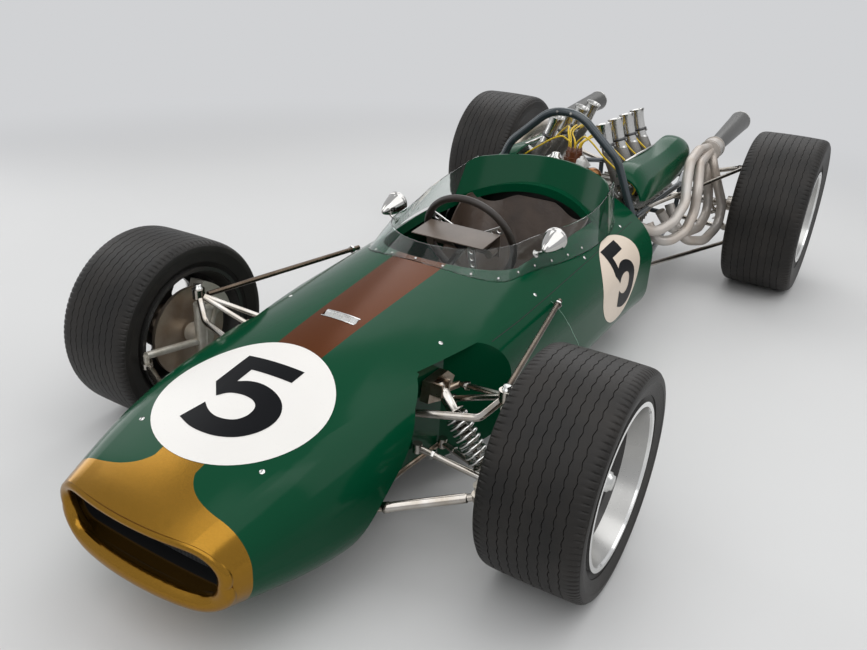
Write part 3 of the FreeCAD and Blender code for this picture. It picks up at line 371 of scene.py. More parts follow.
def pressed_on(name, patches, place, across, upward, panels, material, lift):
    """Lays grids of flat points, each a list of rows of (u, v), on the panels from outside."""
    made_mesh = bmesh.new()
    away = across.cross(upward).normalized()
    for rows in patches:
        grid = []
        for row in rows:
            found = [surface(place + across * u + upward * v + away * clear_of_panels, away, *panels)
                     for u, v in row]
            grid.append([made_mesh.verts.new(spot[0] + spot[1] * lift) if spot else None for spot in found])
        skinned(made_mesh, grid)
    bmesh.ops.remove_doubles(made_mesh, verts=made_mesh.verts, dist=1e-6)
    return placed(name, made_mesh, material)


def line_patch(points, half, step=0.008):
    """A narrow band of the given half width along a bent line."""
    dense = []
    for start, end in zip(points, points[1:]):
        start, end = Vector(start), Vector(end)
        count = max(1, int((end - start).length / step))
        dense += [start.lerp(end, index / count) for index in range(count)]
    dense.append(Vector(points[-1]))
    rows = [[], [], []]
    for index, point in enumerate(dense):
        run = dense[min(index + 1, len(dense) - 1)] - dense[max(index - 1, 0)]
        side = Vector((-run.y, run.x)).normalized()
        for row, share in zip(rows, (-1, 0, 1)):
            row.append(tuple(point + side * half * share))
    return rows


def ways_round(side, other, count, first=0.0):
    """Ways out, evenly round the plane of two directions, from a first angle in degrees."""
    turns = (2 * math.pi * step / count + math.radians(first) for step in range(count))
    return [side * math.cos(turn) + other * math.sin(turn) for turn in turns]


def ring_round(made_mesh, centre, side, other, radius, sides):
    """Adds points evenly round a centre, in the plane of two directions."""
    return [made_mesh.verts.new(centre + out * radius) for out in ways_round(side, other, sides)]


def turned(made_mesh, foot, axis, profile, sides=20):
    """Adds a shape turned about an axis: profile rows are radius and height above the foot."""
    axis = axis.normalized()
    side = axis.orthogonal().normalized()
    other = axis.cross(side)
    rings = []
    for radius, height in profile:
        centre = foot + axis * height
        if radius < 1e-6:
            rings.append([made_mesh.verts.new(centre)])
        else:
            rings.append(ring_round(made_mesh, centre, side, other, radius, sides))
    skinned(made_mesh, rings, closed=True)


# The moulding lifts off above a seam along each shoulder, held by quarter-turn fasteners.
seam_dark = finish("seam_shadow", (0.002, 0.006, 0.004), 0.7)
# A paler green strip along the access panel's rear edge is a painted highlight where the edge catches the
# light.
edge_highlight_paint = finish("panel_edge_painted_highlight", (0.22, 0.4, 0.3), 0.35)
# columns: station, height of the seam
SEAM = ((-0.83, 0.434), (-0.675, 0.441), (-0.49, 0.452), (-0.35, 0.462), (-0.1, 0.475), (0.12, 0.483),
        (0.3, 0.487))
# columns: station, height of the access panel's rear edge
PANEL_EDGE = ((-0.485, 0.44), (-0.462, 0.405), (-0.43, 0.36), (-0.385, 0.31), (-0.335, 0.26), (-0.30, 0.215))
# columns: station, across
FASTENERS = ((-0.975, 0.251), (-1.588, 0.18), (-0.53, 0.318), (-0.17, 0.333), (0.2, 0.326))
# columns: radius, height above its foot
FASTENER_HEAD = ((0.0065, 0), (0.0065, 0.0024), (0.0058, 0.003), (0.0044, 0.003), (0.004, 0.0038),
                 (0, 0.0041))
shoulder_lean = math.radians(42)
seam_lift = 0.0006
clear_of_flank, clear_of_roof = 0.9, 1.2


def leaning(side, lean):
    """The way up a flank that leans in by an angle."""
    return Vector((-side * math.sin(lean), 0, math.cos(lean)))


def skins_of(hand):
    """The two panels that make up one flank."""
    return "side_panel_" + hand, "upper_moulding"


def shoulder_line(line, side, hand):
    """Points of a line on the shoulder, as distance along the car and up the leaning plane."""
    made = []
    for station, height in line:
        spot, _ = surface(mirrored(side, (clear_of_flank, station, height)), side * sideward,
                          *skins_of(hand))
        made.append((station * side, spot.dot(leaning(side, shoulder_lean))))
    return made


for side, hand in SIDES:
    for name, line, half, paint in (("shoulder_seam_", SEAM, 0.0011, seam_dark),
                                    ("panel_edge_", PANEL_EDGE, 0.0008, edge_highlight_paint)):
        pressed_on(name + hand, [line_patch(shoulder_line(line, side, hand), half)], Vector((0, 0, 0)),
                   side * rearward, leaning(side, shoulder_lean), skins_of(hand), paint, seam_lift)

fastener_mesh, slot_mesh = bmesh.new(), bmesh.new()
for station, across in FASTENERS:
    for side, _ in SIDES:
        spot, normal = surface(mirrored(side, (across, station, clear_of_roof)), skyward, "upper_moulding")
        turned(fastener_mesh, spot - normal * 0.002, normal, FASTENER_HEAD)
        run = normal.cross(Vector((1, 0.4, 0))).normalized()
        cross = normal.cross(run)
        flat_face(slot_mesh, [spot + run * 0.0034 * a + cross * 0.0007 * b + normal * 0.0024
                              for a, b in ((-1, -1), (1, -1), (1, 1), (-1, 1))])
placed("quarter_turn_fasteners", fastener_mesh, bright_alloy)
placed("fastener_slots", slot_mesh, seam_dark)

# The air slot in the stripe holds a bright folded vane, split by three webs, between bright edges.
SLOT_EDGES = ((-1.0895, -1.0855), (-1.0605, -1.056))
slot_half = 0.053
for number, stations in enumerate(SLOT_EDGES):
    strip = [[(slot_half * (step / 6 - 1), station) for step in range(13)] for station in stations]
    pressed_on("air_slot_edge_%d" % (number + 1), [strip], Vector((0, 0, 0.6)), sideward, rearward,
               ["upper_moulding"], bright_alloy, 0.0012)
vane_mesh = bmesh.new()
# columns: station, height, of the vane's fold line by line
VANE_FOLDS = ((-1.082, 0.4985), (-1.0775, 0.5005), (-1.0665, 0.5085), (-1.0625, 0.5105))
skinned(vane_mesh, [[vane_mesh.verts.new((slot_half * 0.97 * way, station, height - 0.0012 * abs(way)))
                     for way in (-1, -0.5, 0, 0.5, 1)] for station, height in VANE_FOLDS])
for across in (-0.026, 0.004, 0.03):
    flat_face(vane_mesh, [(across, station, height) for station, height in
                          ((-1.082, 0.5045), (-1.0665, 0.5105), (-1.0665, 0.508), (-1.0775, 0.5))])
placed("air_slot_vane", vane_mesh, bright_alloy, smooth=False)

# ---- Number roundels -----------------------------------------------------------------------------------
# White discs with a plain black five, on the nose and on each flank.  Each is a thin painted skin
# that follows the panel under it.
white_paint = finish("roundel_white", (0.83, 0.81, 0.775), 0.3, mottle=0.04, scale=5, shine=0.3)
flank_white = finish("flank_roundel_cream", (0.80, 0.68, 0.56), 0.25, mottle=0.06, scale=5, shine=0.3)
black_paint = finish("numeral_black", (0.005, 0.0055, 0.007), 0.34, mottle=0.2, shine=0.08)
disc_lift, numeral_lift = 0.0008, 0.0014


def disc_patch(wide, tall, rings=14, around=84):
    """A round or oval disc, ring by ring from its middle."""
    return [[(wide * ring / rings * math.cos(2 * math.pi * turn / around),
              tall * ring / rings * math.sin(2 * math.pi * turn / around)) for turn in range(around + 1)]
            for ring in range(rings + 1)]


def corner_patch(corners, columns=16, rows=8):
    """A straight sided stroke of a numeral between four corners."""
    a, b, c, d = [Vector(corner) for corner in corners]
    return [[tuple(a.lerp(b, u / columns).lerp(d.lerp(c, u / columns), v / rows)) for u in range(columns + 1)]
            for v in range(rows + 1)]


def smooth_line(points, count):
    """A soft curve through points, as an even run of spots."""
    points = [Vector(point) for point in points]
    points = [points[0] * 2 - points[1]] + points + [points[-1] * 2 - points[-2]]
    made = []
    spans = len(points) - 3
    for index in range(count + 1):
        place = min(index / count * spans, spans - 1e-6)
        span, t = int(place), place - int(place)
        a, b, c, d = points[span:span + 4]
        made.append(0.5 * ((2 * b) + (c - a) * t + (2 * a - 5 * b + 4 * c - d) * t * t
                           + (3 * b - a - 3 * c + d) * t ** 3))
    return made


# The bowl's outer and inner edge, in shares of the numeral's height about its middle.
BOWL_OUTER = ((-0.22, 0.126), (-0.10, 0.176), (0.04, 0.19), (0.20, 0.16), (0.34, 0.085), (0.42, -0.03),
              (0.432, -0.16), (0.38, -0.29), (0.27, -0.405), (0.12, -0.475), (-0.04, -0.5), (-0.21, -0.49),
              (-0.385, -0.435))
BOWL_INNER = ((-0.265, -0.105), (-0.19, -0.035), (-0.10, -0.006), (0, 0.002), (0.09, -0.012),
              (0.155, -0.055), (0.178, -0.12), (0.165, -0.195), (0.11, -0.262), (0.02, -0.298),
              (-0.09, -0.305), (-0.20, -0.27), (-0.30, -0.205))


def five(tall, wide, slant):
    """The strokes of a plain five of one height and width, leaning back by a share of its height."""
    bar = corner_patch([(-0.39, 0.48), (0.26, 0.505), (0.25, 0.33), (-0.21, 0.31)])
    stem = corner_patch([(-0.39, 0.48), (-0.21, 0.31), (-0.22, 0.126), (-0.416, 0.052)])
    heel = corner_patch([(-0.416, 0.052), (-0.22, 0.126), (-0.26, -0.1), (-0.265, -0.105)])
    outer, inner = smooth_line(BOWL_OUTER, 48), smooth_line(BOWL_INNER, 48)
    bowl = [[tuple(a.lerp(b, row / 8)) for a, b in zip(outer, inner)] for row in range(9)]
    return [[[((u * wide - v * slant) * tall, v * tall) for u, v in row] for row in patch]
            for patch in (bar, stem, heel, bowl)]


nose_spot = Vector((-0.005, -1.438, 0.6))
pressed_on("roundel_nose", [disc_patch(0.216, 0.204)], nose_spot, sideward, rearward, ["upper_moulding"],
           white_paint, disc_lift)
pressed_on("five_nose", five(0.258, 1.0, 0.0), nose_spot + Vector((0.008, -0.001, 0)), sideward, rearward,
           ["upper_moulding"], black_paint, numeral_lift)
flank_lean = math.radians(30)
for side, hand in SIDES:
    upward, along = leaning(side, flank_lean), side * rearward
    flank_spot = mirrored(side, (0.395, 0.042, 0.362))
    pressed_on("roundel_" + hand, [disc_patch(0.186, 0.148)], flank_spot, along, upward, skins_of(hand),
               flank_white, disc_lift)
    pressed_on("five_" + hand, five(0.24, 0.9, 0.38), flank_spot + along * 0.026 + upward * 0.004, along,
               upward, skins_of(hand), black_paint, numeral_lift)

# ---- Screen ------------------------------------------------------------------------------------------
# One sheet of clear acrylic, blown to shape, with a turned-out flange that small domed rivets hold
# to the body.  Its cut edge catches the light as a pale line.
acrylic = bpy.data.materials.new("clear_acrylic")
acrylic.use_nodes = True
tree, shader, place = opened(acrylic)
haze = grain(tree, 30, 3.0, place)
feed(tree, shader, {
    "Roughness": ramped(tree, haze, 0, 1, 0.01, 0.05),
    "Base Color": blended(tree, haze, (0.93, 0.96, 0.95), (0.86, 0.92, 0.90)),
    "Transmission Weight": 1.0, "IOR": 1.22})
dress(acrylic, "windscreen")


def corners_of(name):
    """The lowest and highest corners of a CAD node."""
    return [Vector(corner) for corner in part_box(name)]


chrome = finish("chrome", (0.55, 0.54, 0.52), 0.08, metal=1.0, mottle=0.06)
screen_low, screen_high = corners_of("windscreen")
screen_middle = Vector(((screen_low.x + screen_high.x) / 2, screen_high.y - 0.45, 0))
rivet_pitch = 0.086
flange_inset = 0.0075
flange_reach, flange_step = 0.82, 0.0015
steepest_flange = 0.4


def flange_spot(turn):
    """The middle of the screen's flange in one direction from the cockpit."""
    way = Vector((math.sin(turn), -math.cos(turn), 0))
    for step in range(420):
        start = screen_middle + way * (flange_reach - step * flange_step) + skyward
        if surface(start, skyward, "windscreen"):
            return surface(start - way * flange_inset, skyward, "windscreen")
    return None


rivet_mesh = bmesh.new()
last_spot = None
for step in range(-235, 236):
    found = flange_spot(math.radians(step / 2))
    if found is None or found[1].z < steepest_flange:
        continue
    if last_spot is None or (found[0] - last_spot).length >= rivet_pitch:
        last_spot = found[0]
        turned(rivet_mesh, found[0] - found[1] * 0.0008, found[1],
               ((0.0042, 0), (0.004, 0.0012), (0.003, 0.0022), (0.0014, 0.0028), (0, 0.003)), 14)
placed("screen_rivets", rivet_mesh, chrome)

# ---- Cockpit -----------------------------------------------------------------------------------------
# The driver sits in a glassfibre shell with a thin brown leathercloth skin.  The wheel has three
# drilled alloy spokes and a dark stitched rim.  The dials are plain, with ticks and a needle each.
trim = finish("seat_leathercloth", (0.075, 0.050, 0.036), 0.34, mottle=0.45, scale=9, coat=0.1,
              dirt=(0.032, 0.022, 0.017), shine=0.3)
tree, shader, place = opened(trim)
soft_folds = bumped(tree, grain(tree, 11, 5.0, place, distortion=1.6), 0.45, 0.006)
pores = added(tree, "TexVoronoi", {"Scale": 420, "Vector": place}).outputs["Distance"]
feed(tree, shader, {"Normal": bumped(tree, pores, 0.25, 0.0004, soft_folds)})
dress(trim, "seat")

# A dark bulkhead closes the tub behind the seat.
bulkhead_centre = Vector((0, 0.19, 0.33))
bulkhead_gap, bulkhead_thick = 0.003, 0.003
tub = ("upper_moulding", "side_panel_left", "side_panel_right", "belly_pan")
bulkhead_mesh = bmesh.new()
bulkhead_rings = []
for offset in (0.0, bulkhead_thick):
    ring = []
    for way in ways_round(sideward, skyward, 72):
        reached = min(tree_of(panel).ray_cast(bulkhead_centre, way)[3] or 1.0 for panel in tub)
        ring.append(bulkhead_mesh.verts.new(bulkhead_centre + way * (reached - bulkhead_gap)
                                            + rearward * offset))
    bulkhead_rings.append(ring)
    bulkhead_mesh.faces.new(ring)
skinned(bulkhead_mesh, bulkhead_rings, closed=True)
placed("rear_bulkhead", bulkhead_mesh, finish("bulkhead_black", (0.02, 0.018, 0.016), 0.5, mottle=0.4),
       smooth=False)

satin_black = finish("satin_black", (0.018, 0.018, 0.02), 0.4, mottle=0.3, bump=0.2)
dial_white = finish("dial_white", (0.75, 0.74, 0.7), 0.5, mottle=0.05)
wheel_low, wheel_high = corners_of("steering_wheel")
wheel_centre = (wheel_low + wheel_high) / 2
spoke_reach = 0.1465

# The rim's leather and the spokes' alloy meet where the spokes reach the rim.
wheel_skin = finish("wheel_rim_leather", (0.03, 0.022, 0.017), 0.42, mottle=0.4, scale=30, bump=0.5,
                    bump_scale=500)
tree, shader, place = opened(wheel_skin)
from_centre = on_vectors(tree, "DISTANCE", place, wheel_centre)["Value"]
spoke_share = calculate(tree, "LESS_THAN", from_centre, spoke_reach)
feed(tree, shader, {
    "Base Color": blended(tree, spoke_share, fed_by(shader, "Base Color"), (0.72, 0.71, 0.69)),
    "Metallic": spoke_share})
dress(wheel_skin, "steering_wheel")

# A polished boss with six small bolts closes the middle of the wheel.
column_rise = math.atan2(0.268, 0.732)
wheel_axis = Vector((0, math.cos(column_rise), math.sin(column_rise)))
boss_bolt_circle = 0.0215
boss_mesh = bmesh.new()
turned(boss_mesh, wheel_centre + wheel_axis * 0.004, wheel_axis,
       ((0.029, 0), (0.029, 0.003), (0.026, 0.005), (0.016, 0.006), (0.014, 0.009), (0.008, 0.0105),
        (0, 0.011)), 36)
boss_side = wheel_axis.orthogonal().normalized()
boss_other = wheel_axis.cross(boss_side)
for out in ways_round(boss_side, boss_other, 6, 30):
    turned(boss_mesh, wheel_centre + wheel_axis * 0.008 + out * boss_bolt_circle, wheel_axis,
           ((0.0032, 0), (0.0032, 0.0026), (0.0026, 0.0032), (0, 0.0032)), 6)
placed("wheel_boss", boss_mesh, bright_alloy, body="steering_wheel", smooth=False)

dress(finish("panel_crackle", (0.13, 0.10, 0.078), 0.4, mottle=0.25, scale=14, bump=0.2, bump_scale=300),
      "instrument_panel")
dress(finish("column_plate", (0.66, 0.65, 0.62), 0.2, metal=1.0, mottle=0.15), "steering_column")
# columns: across, height above the floor, face radius, needle turn
DIALS = ((0, 0.540, 0.031, 40), (-0.074, 0.545, 0.0215, -70), (0.074, 0.545, 0.0215, 110),
         (-0.108, 0.520, 0.0122, 20), (0.108, 0.520, 0.0122, -30))
large_dial, sweep = 0.015, 270
tick_half, needle_half = 0.0006, 0.0014
panel_lean = math.radians(6)
panel_out = Vector((0, math.cos(panel_lean), math.sin(panel_lean)))
panel_up = Vector((0, -math.sin(panel_lean), math.cos(panel_lean)))
_, panel_high = corners_of("instrument_panel")
bezel_mesh, face_mesh, tick_mesh = bmesh.new(), bmesh.new(), bmesh.new()


def dial_mark(middle, degrees, proud, corners):
    """A thin mark on a dial's face.  Corners are how far out from the middle and how far aside."""
    turn = math.radians(degrees)
    ray = Vector((math.sin(turn), 0, 0)) + panel_up * math.cos(turn)
    cross = ray.cross(panel_out)
    flat_face(tick_mesh, [middle + ray * out + cross * aside + panel_out * proud for out, aside in corners])


for across, height, radius, needle in DIALS:
    spot, _ = surface(Vector((across, panel_high.y + 0.2, height + 0.002)), rearward, "instrument_panel")
    middle = spot + panel_out * 0.0004
    turned(bezel_mesh, middle, panel_out,
           ((radius + 0.0025, 0), (radius + 0.0025, 0.003), (radius + 0.001, 0.0042),
            (radius - 0.0008, 0.003), (radius - 0.001, 0.0008)), 40)
    turned(face_mesh, middle, panel_out, ((radius, 0.0004), (0, 0.0004)), 40)
    marks = 11 if radius > large_dial else 7
    for mark in range(marks):
        inner = radius * (0.72 if mark % 2 else 0.64)
        dial_mark(middle, sweep * (mark / (marks - 1) - 0.5), 0.0007,
                  ((radius * 0.9, -tick_half), (radius * 0.9, tick_half), (inner, tick_half),
                   (inner, -tick_half)))
    dial_mark(middle, needle, 0.001,
              ((radius * 0.8, 0), (radius * -0.15, needle_half), (radius * -0.15, -needle_half)))
placed("dial_bezels", bezel_mesh, chrome)
placed("dial_faces", face_mesh, satin_black)
placed("dial_marks", tick_mesh, dial_white, smooth=False)

# ---- Mirrors -----------------------------------------------------------------------------------------
# Spun chrome bullets taper forward to a blunt point.  Each stands on a short bent stem with a riveted
# foot beside the screen, and holds a round glass in a bright rolled ring.
mirror_glass = finish("mirror_glass", (0.72, 0.76, 0.78), 0.02, metal=1.0, mottle=0.05)
# columns: radius, distance behind the ring's front edge
BULLET = ((0, -0.0855), (0.005, -0.0845), (0.0105, -0.078), (0.0175, -0.064), (0.0245, -0.047),
          (0.0305, -0.028), (0.0345, -0.010), (0.0358, 0), (0.0372, 0.0008), (0.0385, 0.003),
          (0.0385, 0.0085), (0.0372, 0.0108), (0.0352, 0.0112), (0.0335, 0.0095))
# columns: radius, height above the body
MIRROR_FOOT = ((0, -0.0005), (0.0125, -0.0005), (0.0125, 0.002), (0.0105, 0.003), (0.0068, 0.0038),
               (0.0056, 0.007), (0.0056, 0.010), (0, 0.0105))
mirror_pitch = math.radians(9)
mirror_axis = Vector((0, math.cos(mirror_pitch), math.sin(mirror_pitch)))
stem_radius = 0.0048
bullet_mesh, glass_mesh, foot_mesh = bmesh.new(), bmesh.new(), bmesh.new()
for side, _ in SIDES:
    centre = mirrored(side, (0.294, -0.360, 0.589))
    turned(bullet_mesh, centre, mirror_axis, BULLET, 48)
    turned(glass_mesh, centre + mirror_axis * 0.0088, mirror_axis,
           ((0.0342, 0), (0.024, 0.0009), (0.012, 0.0014), (0, 0.0016)), 40)
    seat_spot, seat_normal = surface(mirrored(side, (0.6, -0.412, 0.548)), side * sideward, "windscreen")
    turned(foot_mesh, seat_spot, seat_normal, MIRROR_FOOT, 24)
    knee = seat_spot + seat_normal * 0.014
    joint = centre - mirror_axis * 0.050 - skyward * 0.014
    for start, end in ((seat_spot + seat_normal * 0.004, knee), (knee, joint)):
        run = end - start
        turned(foot_mesh, start, run, ((0, -0.003), (stem_radius, -0.001), (stem_radius, run.length + 0.001),
                                       (0, run.length + 0.003)), 14)
    along_foot = seat_normal.cross(skyward).normalized()
    for way in (-1, 1):
        turned(foot_mesh, seat_spot + along_foot * 0.0092 * way + seat_normal * 0.0024, seat_normal,
               ((0.0022, 0), (0.0018, 0.0012), (0, 0.0017)), 10)
bullets = placed("mirror_bullets", bullet_mesh, chrome)
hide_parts("mirrors")
placed("mirror_faces", glass_mesh, mirror_glass)
placed("mirror_feet", foot_mesh, chrome)

# ---- Frame, hoop and radiator ---------------------------------------------------------------------------
# Welded steel tube in blue-grey enamel.  The hoop's feet are bolted to the frame, and a small bolted
# lug at its crown takes a stay.  The radiator is a finned core at the end of the nose duct.
hoop_enamel = finish("hoop_enamel", (0.045, 0.058, 0.066), 0.2, metal=0.25, mottle=0.2, coat=0.3)
dress(hoop_enamel, "roll_hoop", "space_frame")
_, hoop_high = corners_of("roll_hoop")


def bolt(made_mesh, foot, axis, size=0.005, tall=0.004):
    """Adds a hexagon head with a washer under it."""
    turned(made_mesh, foot, axis, ((size * 1.25, -0.0006), (size * 1.25, 0.0008), (size * 0.9, 0.0008)), 18)
    turned(made_mesh, foot, axis,
           ((size, 0.0006), (size, tall), (size * 0.82, tall + 0.0008), (0, tall + 0.0008)), 6)


hoop_bolts = bmesh.new()
foot_face, foot_station = 0.3192, 0.392
for side, _ in SIDES:
    for behind, height in ((-0.012, 0.425), (0.014, 0.425), (0, 0.468)):
        bolt(hoop_bolts, Vector((side * foot_face, foot_station + behind, height)), side * sideward, 0.0048)
lug_half, lug_station, lug_drop = 0.028, 0.3416, 0.016
for side, _ in SIDES:
    bolt(hoop_bolts, Vector((side * lug_half, lug_station, hoop_high.z - lug_drop)), -rearward, 0.0042)
placed("hoop_bolts", hoop_bolts, chrome, smooth=False)

fins = finish("radiator_fins", (0.07, 0.075, 0.08), 0.45, metal=0.6, mottle=0.3, scale=30)
tree, shader, place = opened(fins)
fin_rows, tube_rows = (added(tree, "TexWave", {"Scale": scale, "Vector": place}, wave_type="BANDS",
                             bands_direction=way).outputs["Fac"] for way, scale in (("Z", 90), ("X", 28)))
fin_height = calculate(tree, "MAXIMUM", fin_rows, tube_rows)
# The colour follows the same bands: the near black in the gaps between fins and tubes is painted shade, and
# the grey on their edges is a painted highlight.
feed(tree, shader, {
    "Normal": bumped(tree, fin_height, 1.0, 0.002),
    "Base Color": blended(tree, fin_height, (0.012, 0.013, 0.015), (0.16, 0.165, 0.17))})
dress(fins, "radiator")

# ---- Engine ---------------------------------------------------------------------------------------------
# A vee eight.  Its cast cases are sand-grey, its cam covers are held by rows of domed nuts, and eight
# polished trumpets stand on grey cast elbows over the vee.
cast = finish("cast_magnesium", (0.30, 0.295, 0.275), 0.5, metal=0.55, mottle=0.35, scale=24, bump=0.6,
              bump_scale=260, dirt=(0.16, 0.145, 0.12))
dress(cast, "engine_block", "gearbox")
head_cast = finish("head_casting", (0.42, 0.41, 0.38), 0.42, metal=0.7, mottle=0.3, scale=30, bump=0.5,
                   bump_scale=280)
dress(head_cast, "cylinder_heads")
trumpet_low, trumpet_high = corners_of("inlet_trumpets")
mouth_radius = 0.032
elbow_top = trumpet_low.z + (trumpet_high.z - trumpet_low.z) * 0.52

# The spun pipe is bright from its waist up, and the elbow under it is rough casting.
spun_trumpet = finish("trumpet_alloy", (0.60, 0.595, 0.58), 0.25, metal=1.0, mottle=0.08, scale=30)
tree, shader, place = opened(spun_trumpet)
casting = calculate(tree, "LESS_THAN", parts_of(tree, place)["Z"], elbow_top)
sand_grey = scaled(tree, (0.36, 0.35, 0.33), ramped(tree, grain(tree, 240, 3.0, place), 0, 1, 0.45, 1.0))
feed(tree, shader, {
    "Base Color": blended(tree, casting, fed_by(shader, "Base Color"), sand_grey),
    "Roughness": calculate(tree, "ADD", fed_by(shader, "Roughness"), multiplied(tree, casting, 0.38))})

cylinder_pitch = (trumpet_high.y - trumpet_low.y - 2 * mouth_radius) / 3
cylinders = [trumpet_low.y + mouth_radius + cylinder_pitch * number for number in range(4)]
bank_lean = math.radians(42)
crank_height = 0.24


def on_bank(side, across, station, height):
    """A place on one bank of the vee, from its offset across the bank and its height along it."""
    return Vector((side * (across * math.cos(bank_lean) + height * math.sin(bank_lean)), station,
                   crank_height - across * math.sin(bank_lean) + height * math.cos(bank_lean)))


def bar_between(made_mesh, corners, start, end):
    """Adds a straight bar whose end outlines are the given offsets round two places."""
    first, last = ([made_mesh.verts.new(middle + corner) for corner in corners] for middle in (start, end))
    skinned(made_mesh, (first, last), closed=True)
    made_mesh.faces.new(list(reversed(first)))
    made_mesh.faces.new(last)


# columns: across, height
TRUMPET_FOOT = (0.138, 0.668)
TRUMPET_THROAT = (0.103, 0.772)
ELBOW_KNEE = (0.172, 0.618)
INLET_PORT = (0.196, 0.560)


def over_vee(side, station, spot):
    """A place over the vee from its distance across and its height."""
    return Vector((side * spot[0], station, spot[1]))


def trumpet_stand(side, station):
    """Where a trumpet's foot stands over the vee, and which way the trumpet leans."""
    base = over_vee(side, station, TRUMPET_FOOT)
    return base, (over_vee(side, station, TRUMPET_THROAT) - base).normalized()


# columns: radius, height above the cam cover
DOMED_NUT = ((0.0062, -0.001), (0.0062, 0.0012), (0.0046, 0.0012), (0.0046, 0.0046), (0.0036, 0.0062),
             (0.0015, 0.0072), (0, 0.0074))
# columns: radius, height above the plug's seat
PLUG_CAP = ((0.0125, 0), (0.0125, 0.010), (0.0105, 0.012), (0.0095, 0.030), (0.0075, 0.034),
            (0.0055, 0.046), (0, 0.047))
nut_mesh, rib_mesh, cap_mesh, band_mesh = bmesh.new(), bmesh.new(), bmesh.new(), bmesh.new()
head_low, head_high = corners_of("cylinder_heads")
cover_top, cover_edges = 0.368, ((-0.080, -0.022), (0.022, 0.080))
plug_seat = 0.3405
nut_rows = 9
lead_ends = []
for side, _ in SIDES:
    bank_axis = Vector((side * math.sin(bank_lean), 0, math.cos(bank_lean)))
    bank_across = Vector((side * math.cos(bank_lean), 0, -math.sin(bank_lean)))
    for inner, outer in cover_edges:
        for step in range(nut_rows):
            station = head_low.y + 0.024 + (head_high.y - head_low.y - 0.048) * step / (nut_rows - 1)
            for across in (inner + 0.0125, outer - 0.0125):
                turned(nut_mesh, on_bank(side, across, station, cover_top), bank_axis, DOMED_NUT, 12)
        for share in (0.42, 0.5, 0.58):
            across = inner + (outer - inner) * share
            edge, rise = bank_across * 0.0014, bank_axis * 0.0022
            bar_between(rib_mesh, [edge, edge + rise, rise - edge, -edge],
                        on_bank(side, across, head_low.y + 0.03, cover_top - 0.0004),
                        on_bank(side, across, head_high.y - 0.03, cover_top - 0.0004))
    for station in cylinders:
        plug = on_bank(side, 0.0, station, plug_seat)
        turned(cap_mesh, plug, bank_axis, PLUG_CAP, 16)
        lead_ends.append((side, station, plug + bank_axis * 0.044))
        base, lean = trumpet_stand(side, station)
        turned(band_mesh, base + lean * 0.032, lean,
               ((0.0272, 0), (0.0288, 0.001), (0.0288, 0.0098), (0.0272, 0.0108)), 32)
        turned(nut_mesh, base + lean * 0.037 + Vector((side * 0.026, 0.004, 0)), rearward,
               ((0.0042, 0), (0.0042, 0.012), (0, 0.012)), 6)

# Every trumpet is open down to its throttle, with a flared mouth and a rolled lip.
# columns: radius, height above the foot
TRUMPET_PROFILE = (
    (0.0245, -0.012), (0.0245, 0.033), (0.0268, 0.034), (0.0268, 0.040), (0.0245, 0.041), (0.0242, 0.070),
    (0.0252, 0.092), (0.0272, 0.108), (0.0302, 0.1185), (0.0316, 0.1212), (0.0320, 0.1225), (0.0314, 0.1236),
    (0.0300, 0.1232), (0.0280, 0.1195), (0.0255, 0.109), (0.0232, 0.092), (0.0222, 0.070), (0.0220, 0.030),
    (0, 0.030),
)
elbow_steps, elbow_sides, elbow_radius = 10, 28, 0.027
trumpet_mesh = bmesh.new()
for side, _ in SIDES:
    for station in cylinders:
        base, lean = trumpet_stand(side, station)
        turned(trumpet_mesh, base, lean, TRUMPET_PROFILE, 48)
        port, knee = over_vee(side, station, INLET_PORT), over_vee(side, station, ELBOW_KNEE)
        seat_end = base + lean * 0.004
        rings = []
        for step in range(elbow_steps + 1):
            share = step / elbow_steps
            behind, ahead = port.lerp(knee, share), knee.lerp(seat_end, share)
            above = (ahead - behind).normalized().cross(rearward)
            rings.append(ring_round(trumpet_mesh, behind.lerp(ahead, share), rearward, above, elbow_radius,
                                    elbow_sides))
        skinned(trumpet_mesh, rings, closed=True)
        trumpet_mesh.faces.new(list(reversed(rings[0])))
        trumpet_mesh.faces.new(rings[-1])
trumpets = placed("spun_trumpets", trumpet_mesh, spun_trumpet)
trumpets.data.set_sharp_from_angle(angle=math.radians(38))
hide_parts("inlet_trumpets")
placed("cam_cover_nuts", nut_mesh, chrome)
placed("cam_cover_ribs", rib_mesh, bright_alloy, smooth=False)
placed("plug_caps", cap_mesh, finish("plug_cap_rubber", (0.03, 0.022, 0.018), 0.5, mottle=0.3, bump=0.3))
placed("trumpet_clips", band_mesh, finish("clip_steel", (0.09, 0.09, 0.092), 0.3, metal=0.9))

# ---- Ignition and fuel units -------------------------------------------------------------------------------
# A brown moulded cap with eight towers feeds the plugs through yellow leads.  A metering unit, a
# white-bodied filter and a brown-domed pump stand between the hoop and the trumpets.
cap_brown = finish("cap_brown", (0.155, 0.05, 0.02), 0.28, mottle=0.3, coat=0.3)
dress(cap_brown, "distributor")
dist_low, dist_high = corners_of("distributor")
dist_axis = Vector(((dist_low.x + dist_high.x) / 2, (dist_low.y + dist_high.y) / 2, dist_high.z))
tower_circle, tower_tall = 0.0245, 0.019
tower_mesh = bmesh.new()
towers = []
for out in ways_round(sideward, rearward, 8, 22.5):
    foot = dist_axis + out * tower_circle - skyward * 0.002
    turned(tower_mesh, foot, skyward,
           ((0.0068, 0), (0.0064, 0.012), (0.0052, 0.0135), (0.0052, tower_tall), (0, 0.0195)), 14)
    towers.append(foot + skyward * tower_tall)
turned(tower_mesh, dist_axis - skyward * 0.001, skyward, ((0.009, 0), (0.008, 0.02), (0, 0.021)), 16)
placed("cap_towers", tower_mesh, cap_brown)

lead_yellow = finish("lead_yellow", (0.78, 0.53, 0.02), 0.42, mottle=0.15, scale=40)
lead_radius = 0.0036


